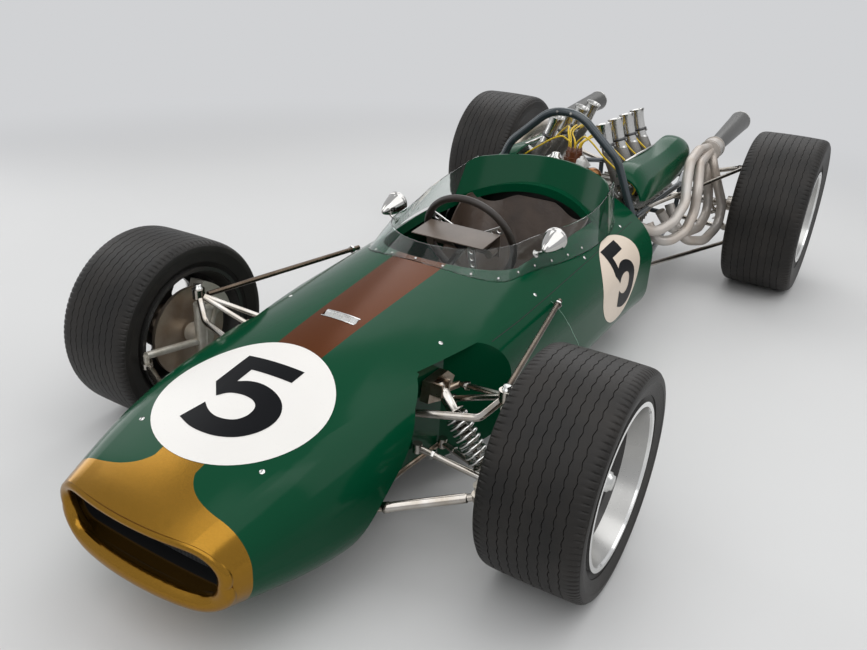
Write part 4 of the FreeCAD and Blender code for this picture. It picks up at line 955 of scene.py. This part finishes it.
def lead(name, points):
    """One plug lead: a smooth insulated cable along its route."""
    line = bpy.data.curves.new(name, "CURVE")
    line.dimensions = "3D"
    spline = line.splines.new("NURBS")
    spline.points.add(len(points) - 1)
    for point, place in zip(spline.points, points):
        point.co = (*place, 1)
    spline.order_u = 3
    spline.use_endpoint_u = True
    spline.resolution_u = 12
    line.materials.append(lead_yellow)
    made = stood(name, line)
    centre = bpy.data.meshes.new_from_object(made)
    bpy.data.meshes.remove(centre)
    line.bevel_depth = lead_radius
    line.bevel_resolution = 3
    line.use_fill_caps = True
    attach(made, "chassis")


lead_order = sorted(lead_ends, key=lambda end: (-end[0], end[1]))
tower_order = sorted(towers, key=lambda tower: (-1 if tower.x > dist_axis.x else 1, tower.y))
for number, ((side, station, end), tower) in enumerate(zip(lead_order, tower_order)):
    cylinder = number % 4
    gap = station - cylinder_pitch / 2 + 0.006
    spread = 0.014 + 0.011 * cylinder
    top = dist_axis.z + 0.052 + 0.012 * ((cylinder * 2 + (side > 0)) % 3)
    lead("plug_lead_%d" % (number + 1), [
        tower, tower + Vector((0, 0, 0.020)),
        Vector((side * (0.020 + spread), tower.y + (gap - tower.y) * 0.25, top)),
        Vector((side * (0.040 + spread * 0.6), tower.y + (gap - tower.y) * 0.6, top + 0.010)),
        Vector((side * 0.085, gap - 0.004, top - 0.006)),
        Vector((side * 0.140, gap, 0.668)),
        Vector((side * 0.196, gap + 0.004, 0.628)),
        Vector((side * 0.236, gap + 0.022, 0.592)),
        end + Vector((side * 0.020, -0.006, 0.030)), end])

# A ribbed metering unit stands in the vee with its pump lying beside it, then a filter and a dome.
# columns: foot, axis, sides, profile of radius and height above the foot
METERING_UNIT = ((-0.062, 0.455, 0.588), (0, 0.15, 1), 28, (
    (0, 0), (0.026, 0), (0.026, 0.006), (0.022, 0.008), (0.022, 0.016), (0.026, 0.018), (0.026, 0.024),
    (0.022, 0.026), (0.022, 0.034), (0.026, 0.036), (0.026, 0.046), (0.017, 0.052), (0.017, 0.066),
    (0.012, 0.070), (0, 0.071)))
FUEL_PUMP = ((-0.115, 0.500, 0.592), (0, 1, 0.05), 28, (
    (0, 0), (0.024, 0.002), (0.027, 0.012), (0.027, 0.1), (0.023, 0.112), (0.012, 0.114), (0.012, 0.128),
    (0, 0.128)))
FUEL_FILTER = ((0.050, 0.437, 0.585), (0.1, 0.1, 1), 24, (
    (0, 0), (0.016, 0.001), (0.018, 0.006), (0.018, 0.060), (0.015, 0.066), (0.008, 0.068), (0.006, 0.078),
    (0, 0.078)))
PUMP_DOME = ((0.098, 0.470, 0.560), (0.15, 0, 1), 32, (
    (0, 0), (0.028, 0), (0.034, 0.012), (0.036, 0.024), (0.033, 0.040), (0.024, 0.052), (0.011, 0.058),
    (0, 0.059)))
for name, units, material, slot in (
        ("fuel_metering_units", (METERING_UNIT, FUEL_PUMP), bright_alloy, "bright_steel"),
        ("fuel_filter", (FUEL_FILTER,), finish("filter_white", (0.78, 0.77, 0.74), 0.4, mottle=0.08),
         "bright_steel"),
        ("pump_dome", (PUMP_DOME,), finish("dome_bronze", (0.34, 0.15, 0.05), 0.22, metal=0.7, mottle=0.4,
                                           scale=20), "distributor_brown")):
    unit_mesh = bmesh.new()
    for foot, axis, sides, profile in units:
        turned(unit_mesh, Vector(foot), Vector(axis), profile, sides)
    placed(name, unit_mesh, material)

# Each elbow takes an injector, fed from a plated rail along the bank.
# columns: radius, height above the elbow
INJECTOR = ((0.010, 0), (0.010, 0.008), (0.0075, 0.009), (0.0075, 0.02), (0.0055, 0.021), (0.0055, 0.026),
            (0, 0.026))
rail_radius, rail_beyond = 0.0048, 0.02
rail_long = cylinders[-1] - cylinders[0] + 2 * rail_beyond
injector_mesh, fuel_rail = bmesh.new(), bmesh.new()
for side, _ in SIDES:
    outward = Vector((side * 0.75, 0, 0.66)).normalized()
    for station in cylinders:
        turned(injector_mesh, Vector((side * 0.1895, station, 0.626)) + outward * 0.006, outward, INJECTOR, 6)
    turned(fuel_rail, Vector((side * 0.2165, cylinders[0] - rail_beyond, 0.6585)), rearward,
           ((0, 0), (rail_radius, 0), (rail_radius, rail_long), (0, rail_long)), 14)
placed("injectors", injector_mesh, bright_alloy, smooth=False)
placed("fuel_rails", fuel_rail, chrome)

# ---- Exhausts --------------------------------------------------------------------------------------------
# Hand-bent steel pipes in a pale heat paint that has browned at the bends and by the heads.
# A bright rolled rim finishes each tailpipe, and brass nuts hold the manifolds to the heads.
pipe_paint = finish("pipe_heat_paint", (0.52, 0.51, 0.495), 0.36, metal=0.3, mottle=0.2, scale=7, bump=0.25,
                    bump_scale=180, dirt=(0.44, 0.36, 0.29))
_, exhaust_high = corners_of("exhaust_left")
tail_long, tail_dark = 0.5565, (0.06, 0.059, 0.055)
tree, shader, place = opened(pipe_paint)
tail_share = ramped(tree, parts_of(tree, place)["Y"], exhaust_high.y - 0.56, exhaust_high.y - 0.54,
                    smooth=True)
feed(tree, shader, {"Base Color": blended(tree, tail_share, fed_by(shader, "Base Color"), tail_dark)})
dress(pipe_paint, "exhaust_left", "exhaust_right")

# columns: radius, distance behind the tailpipe's end
ROLLED_RIM = ((0.0490, -0.004), (0.0508, -0.003), (0.0512, -0.0005), (0.0505, 0.0008), (0.0480, 0.0010),
              (0.0462, -0.002), (0.0462, -0.008))
# Where the tailpipe starts, and how it runs on from there.
tail_foot, tail_way = (0.391, 1.246, 0.613), (-9, 561, 35)
manifold_across, manifold_height, nut_spacing = 0.2925, 0.4305, 0.0312
rim_mesh, manifold_mesh = bmesh.new(), bmesh.new()
for side, _ in SIDES:
    tail_run = mirrored(side, tail_way).normalized()
    turned(rim_mesh, mirrored(side, tail_foot) + tail_run * tail_long, tail_run, ROLLED_RIM, 48)
    outward = Vector((side * 0.74, 0, -0.67))
    for station in cylinders:
        for way in (-0.5, 0.5):
            nut_foot = (manifold_across, station + way * nut_spacing, manifold_height)
            bolt(manifold_mesh, mirrored(side, nut_foot), outward, 0.0052)
placed("tailpipe_rims", rim_mesh, chrome)
placed("manifold_nuts", manifold_mesh, finish("brass_nuts", (0.55, 0.36, 0.14), 0.35, metal=1.0, mottle=0.3),
       smooth=False)

# ---- Gearbox -----------------------------------------------------------------------------------------------
# A cast case with ribs round it, bolted to the engine at a flange, with a bolted cover at the back.
# A pump hangs low on each side of the block, over a row of bolts along the sump's edge.
# columns: station, half width, floor, roof
CASE_SECTIONS = ((1.146, 0.110, 0.170, 0.400), (1.333, 0.100, 0.190, 0.400), (1.586, 0.070, 0.210, 0.370))


def case_section(station):
    """Half width, floor and roof of the case at one station."""
    for low, high in zip(CASE_SECTIONS, CASE_SECTIONS[1:]):
        if station <= high[0]:
            share = (station - low[0]) / (high[0] - low[0])
            return [a + (b - a) * share for a, b in zip(low[1:], high[1:])]
    return CASE_SECTIONS[-1][1:]


case_ribs, case_bolts = bmesh.new(), bmesh.new()
rib_proud, rib_half = 0.0065, 0.0028
first_rib, rib_pitch = 1.178, 0.042
for step in range(10):
    station = first_rib + step * rib_pitch
    half, low, high = case_section(station)
    half, low, high = half + rib_proud, low - rib_proud, high + rib_proud
    outline = [Vector((across, 0, height)) for across, height in
               ((-half, low), (half, low), (half, high), (-half, high))]
    bar_between(case_ribs, outline, rearward * (station - rib_half), rearward * (station + rib_half))
flange_station, flange_half, cover_station, cover_half = 1.1462, 0.118, 1.5868, 0.058
flange_bolts = [(way * flange_half, height) for way in (-1, 1)
                for height in (0.18, 0.235, 0.29, 0.345, 0.395)]
flange_bolts += [(across, height) for across in (-0.07, 0, 0.07) for height in (0.403, 0.166)]
cover_bolts = [(way * cover_half, height) for height in (0.225, 0.355) for way in (-1, 1)]
cover_bolts += [(0, 0.36), (0, 0.22)]
for station, bolts, size in ((flange_station, flange_bolts, 0.006), (cover_station, cover_bolts, 0.0055)):
    for across, height in bolts:
        bolt(case_bolts, Vector((across, station, height)), rearward, size)
# The oil filler stands on the roof of the case.
turned(case_bolts, Vector((0.03, 1.36, 0.405)), skyward,
       ((0.018, 0), (0.018, 0.012), (0.022, 0.013), (0.022, 0.021), (0.008, 0.024), (0.008, 0.03),
        (0, 0.03)), 12)
placed("gearbox_ribs", case_ribs, cast, smooth=False)
placed("gearbox_bolts", case_bolts, bright_alloy, smooth=False)

# columns: radius, distance from the pump's front end
SIDE_PUMP = ((0, 0), (0.030, 0), (0.036, 0.006), (0.036, 0.055), (0.040, 0.057), (0.040, 0.065),
             (0.034, 0.067), (0.034, 0.15), (0.028, 0.158), (0, 0.158))
block_low, _ = corners_of("engine_block")
side_units = bmesh.new()
for side, _ in SIDES:
    turned(side_units, Vector((side * 0.188, block_low.y + 0.06, 0.19)), rearward, SIDE_PUMP, 28)
    for step in range(7):
        bolt(side_units, Vector((side * 0.1505, block_low.y + 0.25 + step * 0.045, 0.135)), side * sideward,
             0.0048)
placed("side_pumps", side_units, head_cast)

# ---- Suspension ------------------------------------------------------------------------------------------
# Bright plated tube links with screwed-in joints and lock nuts.  Dampers are bright, inside zinc
# plated coil springs, and a turned cap closes each upper front joint.
plated = finish("bright_plate", (0.56, 0.545, 0.52), 0.2, metal=1.0, mottle=0.2, scale=20,
                dirt=(0.33, 0.28, 0.22))
dress(plated, "front_arms_left", "front_arms_right", "rear_links", "rear_coilovers", "driveshafts",
      "steering_rack", "track_rod_left", "track_rod_right")
dress(finish("bronzed_steel", (0.15, 0.115, 0.085), 0.28, metal=0.95, mottle=0.4, scale=14,
             dirt=(0.07, 0.05, 0.035)), "radius_rods")
dress(finish("bracket_plate", (0.42, 0.36, 0.29), 0.3, metal=1.0, mottle=0.5, scale=26,
             dirt=(0.17, 0.11, 0.07)), "front_brackets")
dress(finish("upright_casting", (0.66, 0.64, 0.58), 0.36, metal=0.5, mottle=0.4, scale=26, bump=0.5,
             bump_scale=300, dirt=(0.38, 0.34, 0.27)), "knuckle_left", "knuckle_right", "rear_uprights")

# Each front spring is a close coil of thick bright wire round a slim damper, between two cups.
spring_top, spring_foot = (0.306, -1.062, 0.394), (0.474, -1.076, 0.186)
coil_radius, wire_radius, coil_turns = 0.0275, 0.0052, 8.5
wire_sides, steps_a_turn = 10, 30
# Where the two cups lie on the damper, as shares of the way down it.
upper_cup, lower_cup, cup_radius = 0.26, 0.84, 0.0275


def coil_between(made_mesh, start, end):
    """Adds a round wire wound about the line between two places."""
    run = end - start
    axis = run.normalized()
    side = axis.orthogonal().normalized()
    other = axis.cross(side)
    count = int(coil_turns * steps_a_turn)
    rings = []
    for step in range(count + 1):
        turn = 2 * math.pi * coil_turns * step / count
        out = side * math.cos(turn) + other * math.sin(turn)
        rings.append(ring_round(made_mesh, start + run * step / count + out * coil_radius, out, axis,
                                wire_radius, wire_sides))
    skinned(made_mesh, rings, closed=True)
    made_mesh.faces.new(rings[0])
    made_mesh.faces.new(list(reversed(rings[-1])))


coil_mesh, damper_mesh = bmesh.new(), bmesh.new()
for side, _ in SIDES:
    top, foot = mirrored(side, spring_top), mirrored(side, spring_foot)
    run = foot - top
    axis, long = run.normalized(), run.length
    coil_between(coil_mesh, top + axis * (upper_cup * long + 0.006), top + axis * (lower_cup * long - 0.006))
    turned(damper_mesh, top, axis,
           ((0, 0.004), (0.0105, 0.006), (0.0155, 0.016), (0.0155, 0.25 * long - 0.002),
            (cup_radius, 0.25 * long), (cup_radius, upper_cup * long), (0.0168, 0.262 * long),
            (0.0168, 0.55 * long), (0.007, 0.56 * long), (0.007, 0.835 * long),
            (cup_radius, lower_cup * long), (cup_radius, 0.856 * long), (0.013, 0.862 * long),
            (0.0105, 0.95 * long), (0, 0.955 * long)), 28)
    for place, half in ((top, 0.014), (foot, 0.013)):
        turned(damper_mesh, place - rearward * half, rearward,
               ((0, 0), (0.0118, 0), (0.0118, 2 * half), (0, 2 * half)), 24)
damper = placed("front_dampers", damper_mesh, plated)
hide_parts("front_coilovers")
placed("front_springs", coil_mesh, bright_alloy)

# columns: joint end, second point of the link it screws into, distance of the nut from the end
LOCK_NUTS = (
    ((0.318, -0.976, 0.366), (0.500, -1.089, 0.445), 0.030),
    ((0.296, -1.012, 0.330), (0.500, -1.089, 0.445), 0.030),
    ((0.274, -1.096, 0.214), (0.540, -1.054, 0.154), 0.034),
    ((0.284, -0.983, 0.172), (0.540, -1.054, 0.154), 0.034),
    ((0.374, -0.466, 0.440), (0.486, -1.066, 0.441), 0.028),
    ((0.284, 0.398, 0.476), (0.532, 1.291, 0.532), 0.060),
    ((0.345, 0.416, 0.262), (0.534, 1.291, 0.180), 0.040),
    ((0.534, 1.291, 0.180), (0.345, 0.416, 0.262), 0.040),
    ((0.540, 1.348, 0.528), (0.214, 1.506, 0.400), 0.040),
    ((0.535, 1.361, 0.215), (0.210, 1.486, 0.195), 0.040),
)
lock_mesh = bmesh.new()
for end, beyond, distance in LOCK_NUTS:
    for side, _ in SIDES:
        start = mirrored(side, end)
        run = (mirrored(side, beyond) - start).normalized()
        turned(lock_mesh, start + run * distance, run,
               ((0.0085, 0), (0.0135, 0.0004), (0.0135, 0.0085), (0.0085, 0.009)), 6)
placed("lock_nuts", lock_mesh, chrome, smooth=False)

# A turned sleeve with a collar at its inner end stiffens each track rod.
rod_inner, rod_outer = (0.312, -1.348, 0.198), (0.535, -1.269, 0.280)
for side, hand in SIDES:
    inner, run = mirrored(side, rod_inner), mirrored(side, rod_outer) - mirrored(side, rod_inner)
    sleeve_mesh = bmesh.new()
    turned(sleeve_mesh, inner, run,
           ((0.0095, 0.016), (0.0138, 0.017), (0.0138, 0.031), (0.0118, 0.033), (0.0118, run.length - 0.030),
            (0.0095, run.length - 0.026)), 24)
    placed("track_rod_sleeve_" + hand, sleeve_mesh, plated, body="track_rod_" + hand)

joint_mesh = bmesh.new()
for side, _ in SIDES:
    turned(joint_mesh, mirrored(side, (0.500, -1.089, 0.462)), skyward,
           ((0.0125, 0), (0.0125, 0.003), (0.010, 0.004), (0.010, 0.012), (0.0085, 0.0135), (0, 0.0138)), 18)
placed("joint_caps", joint_mesh, bright_alloy)

# ---- Tyres -----------------------------------------------------------------------------------------------
# Bias-belted racing rubber: a flat tread cut with rows of fine broken grooves that run round it,
# short cuts over the shoulders, and a plain side wall with raised rings.
# columns: share of half width, share of the way from the bead to the tread
TYRE_PROFILE = (
    (0.84, 0.0), (0.895, 0.16), (0.905, 0.19), (0.93, 0.20), (0.965, 0.42), (0.99, 0.60), (0.993, 0.615),
    (0.998, 0.62), (0.999, 0.74), (0.992, 0.80), (0.986, 0.835), (0.976, 0.84), (0.965, 0.875), (0.94, 0.918),
    (0.90, 0.95), (0.85, 0.97), (0.78, 0.982),
)
steps_round = 540
groove_rows, groove_spread = 8, 0.96
groove_half, groove_depth, groove_sway = 0.0008, 0.0030, 0.0019
groove_wave, shoulder_cut_pitch, shoulder_cut_depth = 9, 5, 0.0026
rubber = finish("tread_rubber", (0.011, 0.0106, 0.0102), 0.5, mottle=0.45, scale=10, bump=0.5, bump_scale=420,
                dirt=(0.026, 0.023, 0.0205), shine=0.25)


def tyre_section(outer, half, bead):
    """Rows of distance across, radius and groove, from bead to bead.  Plain rubber has no groove."""
    side = [(share * half, bead + rise * (outer - bead)) for share, rise in TYRE_PROFILE]
    edge_across, edge_radius = side[-1]

    def crown(across):
        """The radius of the tread's slight arch at a distance from its middle."""
        return edge_radius + (outer - edge_radius) * (1 - (across / edge_across) ** 2)

    line = [(across, radius, None) for across, radius in side]
    for row in range(groove_rows):
        middle = edge_across * (1 - (2 * row + 1) / groove_rows) * groove_spread
        for step in (1.5, 0.5, -0.5, -1.5):
            line.append((middle + groove_half * step, crown(middle), (row, abs(step) < 1)))
        if row < groove_rows - 1:
            plain = edge_across * (1 - (2 * row + 2) / groove_rows) * groove_spread
            line.append((plain, crown(plain), None))
    return line + [(-across, radius, None) for across, radius in reversed(side)]


def tyre_mesh(name, centre, outer, half, bead):
    """The outer skin of one tyre, from bead to bead, with its grooves as real cuts."""
    line = tyre_section(outer, half, bead)
    shoulder = {index for index, (across, radius, groove) in enumerate(line) if groove is None
                and 0.84 * half < abs(across) < 0.97 * half and radius > bead + 0.87 * (outer - bead)}
    points, faces = [], []
    for turn in range(steps_round):
        angle = 2 * math.pi * turn / steps_round
        for index, (across, radius, groove) in enumerate(line):
            if groove is not None:
                row, deep = groove
                phase = (turn + 4 * row) % groove_wave
                across += groove_sway * (abs(phase - groove_wave / 2) / (groove_wave / 4) - 1)
                if deep and phase < groove_wave - 1:
                    radius -= groove_depth
            elif index in shoulder and turn % shoulder_cut_pitch == 0:
                radius -= shoulder_cut_depth
            points.append((across + centre.x, radius * math.cos(angle) + centre.y,
                           radius * math.sin(angle) + centre.z))
    width = len(line)
    for turn in range(steps_round):
        here, there = turn * width, (turn + 1) % steps_round * width
        faces += [(here + index, here + index + 1, there + index + 1, there + index)
                  for index in range(width - 1)]
    mesh = bpy.data.meshes.new(name)
    mesh.from_pydata(points, [], faces)
    mesh.update()
    for face in mesh.polygons:
        face.use_smooth = True
    mesh.set_sharp_from_angle(angle=math.radians(26))
    mesh.materials.append(rubber)
    return stood(name, mesh)


corners = ("front_left", "front_right", "rear_left", "rear_right")
bead_gap = 0.0003
for corner in corners:
    low, high = corners_of("tyre_" + corner)
    rim_low, rim_high = corners_of("rim_" + corner)
    tyre = tyre_mesh("tread_" + corner, (low + high) / 2, (high.z - low.z) / 2, (high.x - low.x) / 2,
                     (rim_high.z - rim_low.z) / 2 + bead_gap)
    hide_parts("tyre_" + corner)
    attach(tyre, "wheel_" + corner)

# ---- Wheels and brakes -----------------------------------------------------------------------------------
# Cast wheels with a turned bright lip, a satin barrel and a dark spoked middle held by one large nut.
# The discs are plain iron, browned by heat.
disc_iron = finish("disc_iron", (0.52, 0.44, 0.36), 0.34, metal=0.75, mottle=0.35, scale=16,
                   dirt=(0.34, 0.25, 0.18))
lip_bright, middle_dark = (0.80, 0.80, 0.79), (0.06, 0.058, 0.056)
lip_wide, middle_inset = 0.014, 0.056


def wheel_finish(name, centre, outward, lip_radius, dark_depth):
    """Bright turned lip and satin barrel, darker beyond a depth from the wheel's outer side."""
    made = finish(name, (0.50, 0.495, 0.48), 0.3, metal=1.0, mottle=0.15)
    tree, shader, place = opened(made)
    away = on_vectors(tree, "SUBTRACT", place, centre)["Vector"]
    radius = on_vectors(tree, "LENGTH", on_vectors(tree, "MULTIPLY", away, (0, 1, 1))["Vector"])["Value"]
    lip = calculate(tree, "GREATER_THAN", radius, lip_radius)
    depth = multiplied(tree, parts_of(tree, away)["X"], outward)
    middle = calculate(tree, "LESS_THAN", depth, dark_depth)
    turned_metal = blended(tree, lip, fed_by(shader, "Base Color"), lip_bright)
    feed(tree, shader, {
        "Base Color": blended(tree, middle, turned_metal, middle_dark),
        "Metallic": calculate(tree, "SUBTRACT", 1.0, multiplied(tree, middle, 0.5)),
        "Roughness": calculate(tree, "SUBTRACT", fed_by(shader, "Roughness"), multiplied(tree, lip, 0.16))})
    return made


# columns: radius, share of the way from the cast nut's face to the wheel's outer face
HUB_CAP = ((0, 0), (0.033, 0), (0.033, 0.10), (0.030, 0.14), (0.026, 0.16), (0.0245, 0.42), (0.019, 0.48),
           (0.0175, 0.58), (0, 0.60))
bolt_circle_inset, clear_of_wheel = 0.052, 0.3
for corner in corners:
    rim_low, rim_high = corners_of("rim_" + corner)
    centre = (rim_low + rim_high) / 2
    rim_radius, outer_face = (rim_high.z - rim_low.z) / 2, (rim_high.x - rim_low.x) / 2
    outward = (1 if centre.x > 0 else -1) * sideward
    dress(wheel_finish("wheel_metal_" + corner, centre, outward.x, rim_radius - lip_wide,
                       outer_face - middle_inset), "rim_" + corner)
    dress(disc_iron, "brake_disc_" + corner)
    # A turned cap carries on from the nut, and eight small bolts sit round the barrel.
    hub_spot, _ = surface(centre + outward * clear_of_wheel, outward, "rim_" + corner)
    room = outer_face - abs(hub_spot.x - centre.x)
    cap_mesh = bmesh.new()
    turned(cap_mesh, hub_spot - outward * 0.001, outward,
           [(radius, share * room) for radius, share in HUB_CAP], 32)
    placed("hub_cap_" + corner, cap_mesh, bright_alloy, body="wheel_" + corner)
    bolt_mesh = bmesh.new()
    for out in ways_round(rearward, skyward, 8, 22.5):
        found = surface(centre + outward * clear_of_wheel + out * (rim_radius - bolt_circle_inset), outward,
                        "rim_" + corner)
        if found:
            bolt(bolt_mesh, found[0] - found[1] * 0.0004, found[1], 0.0042)
    placed("rim_bolts_" + corner, bolt_mesh, chrome, body="wheel_" + corner, smooth=False)
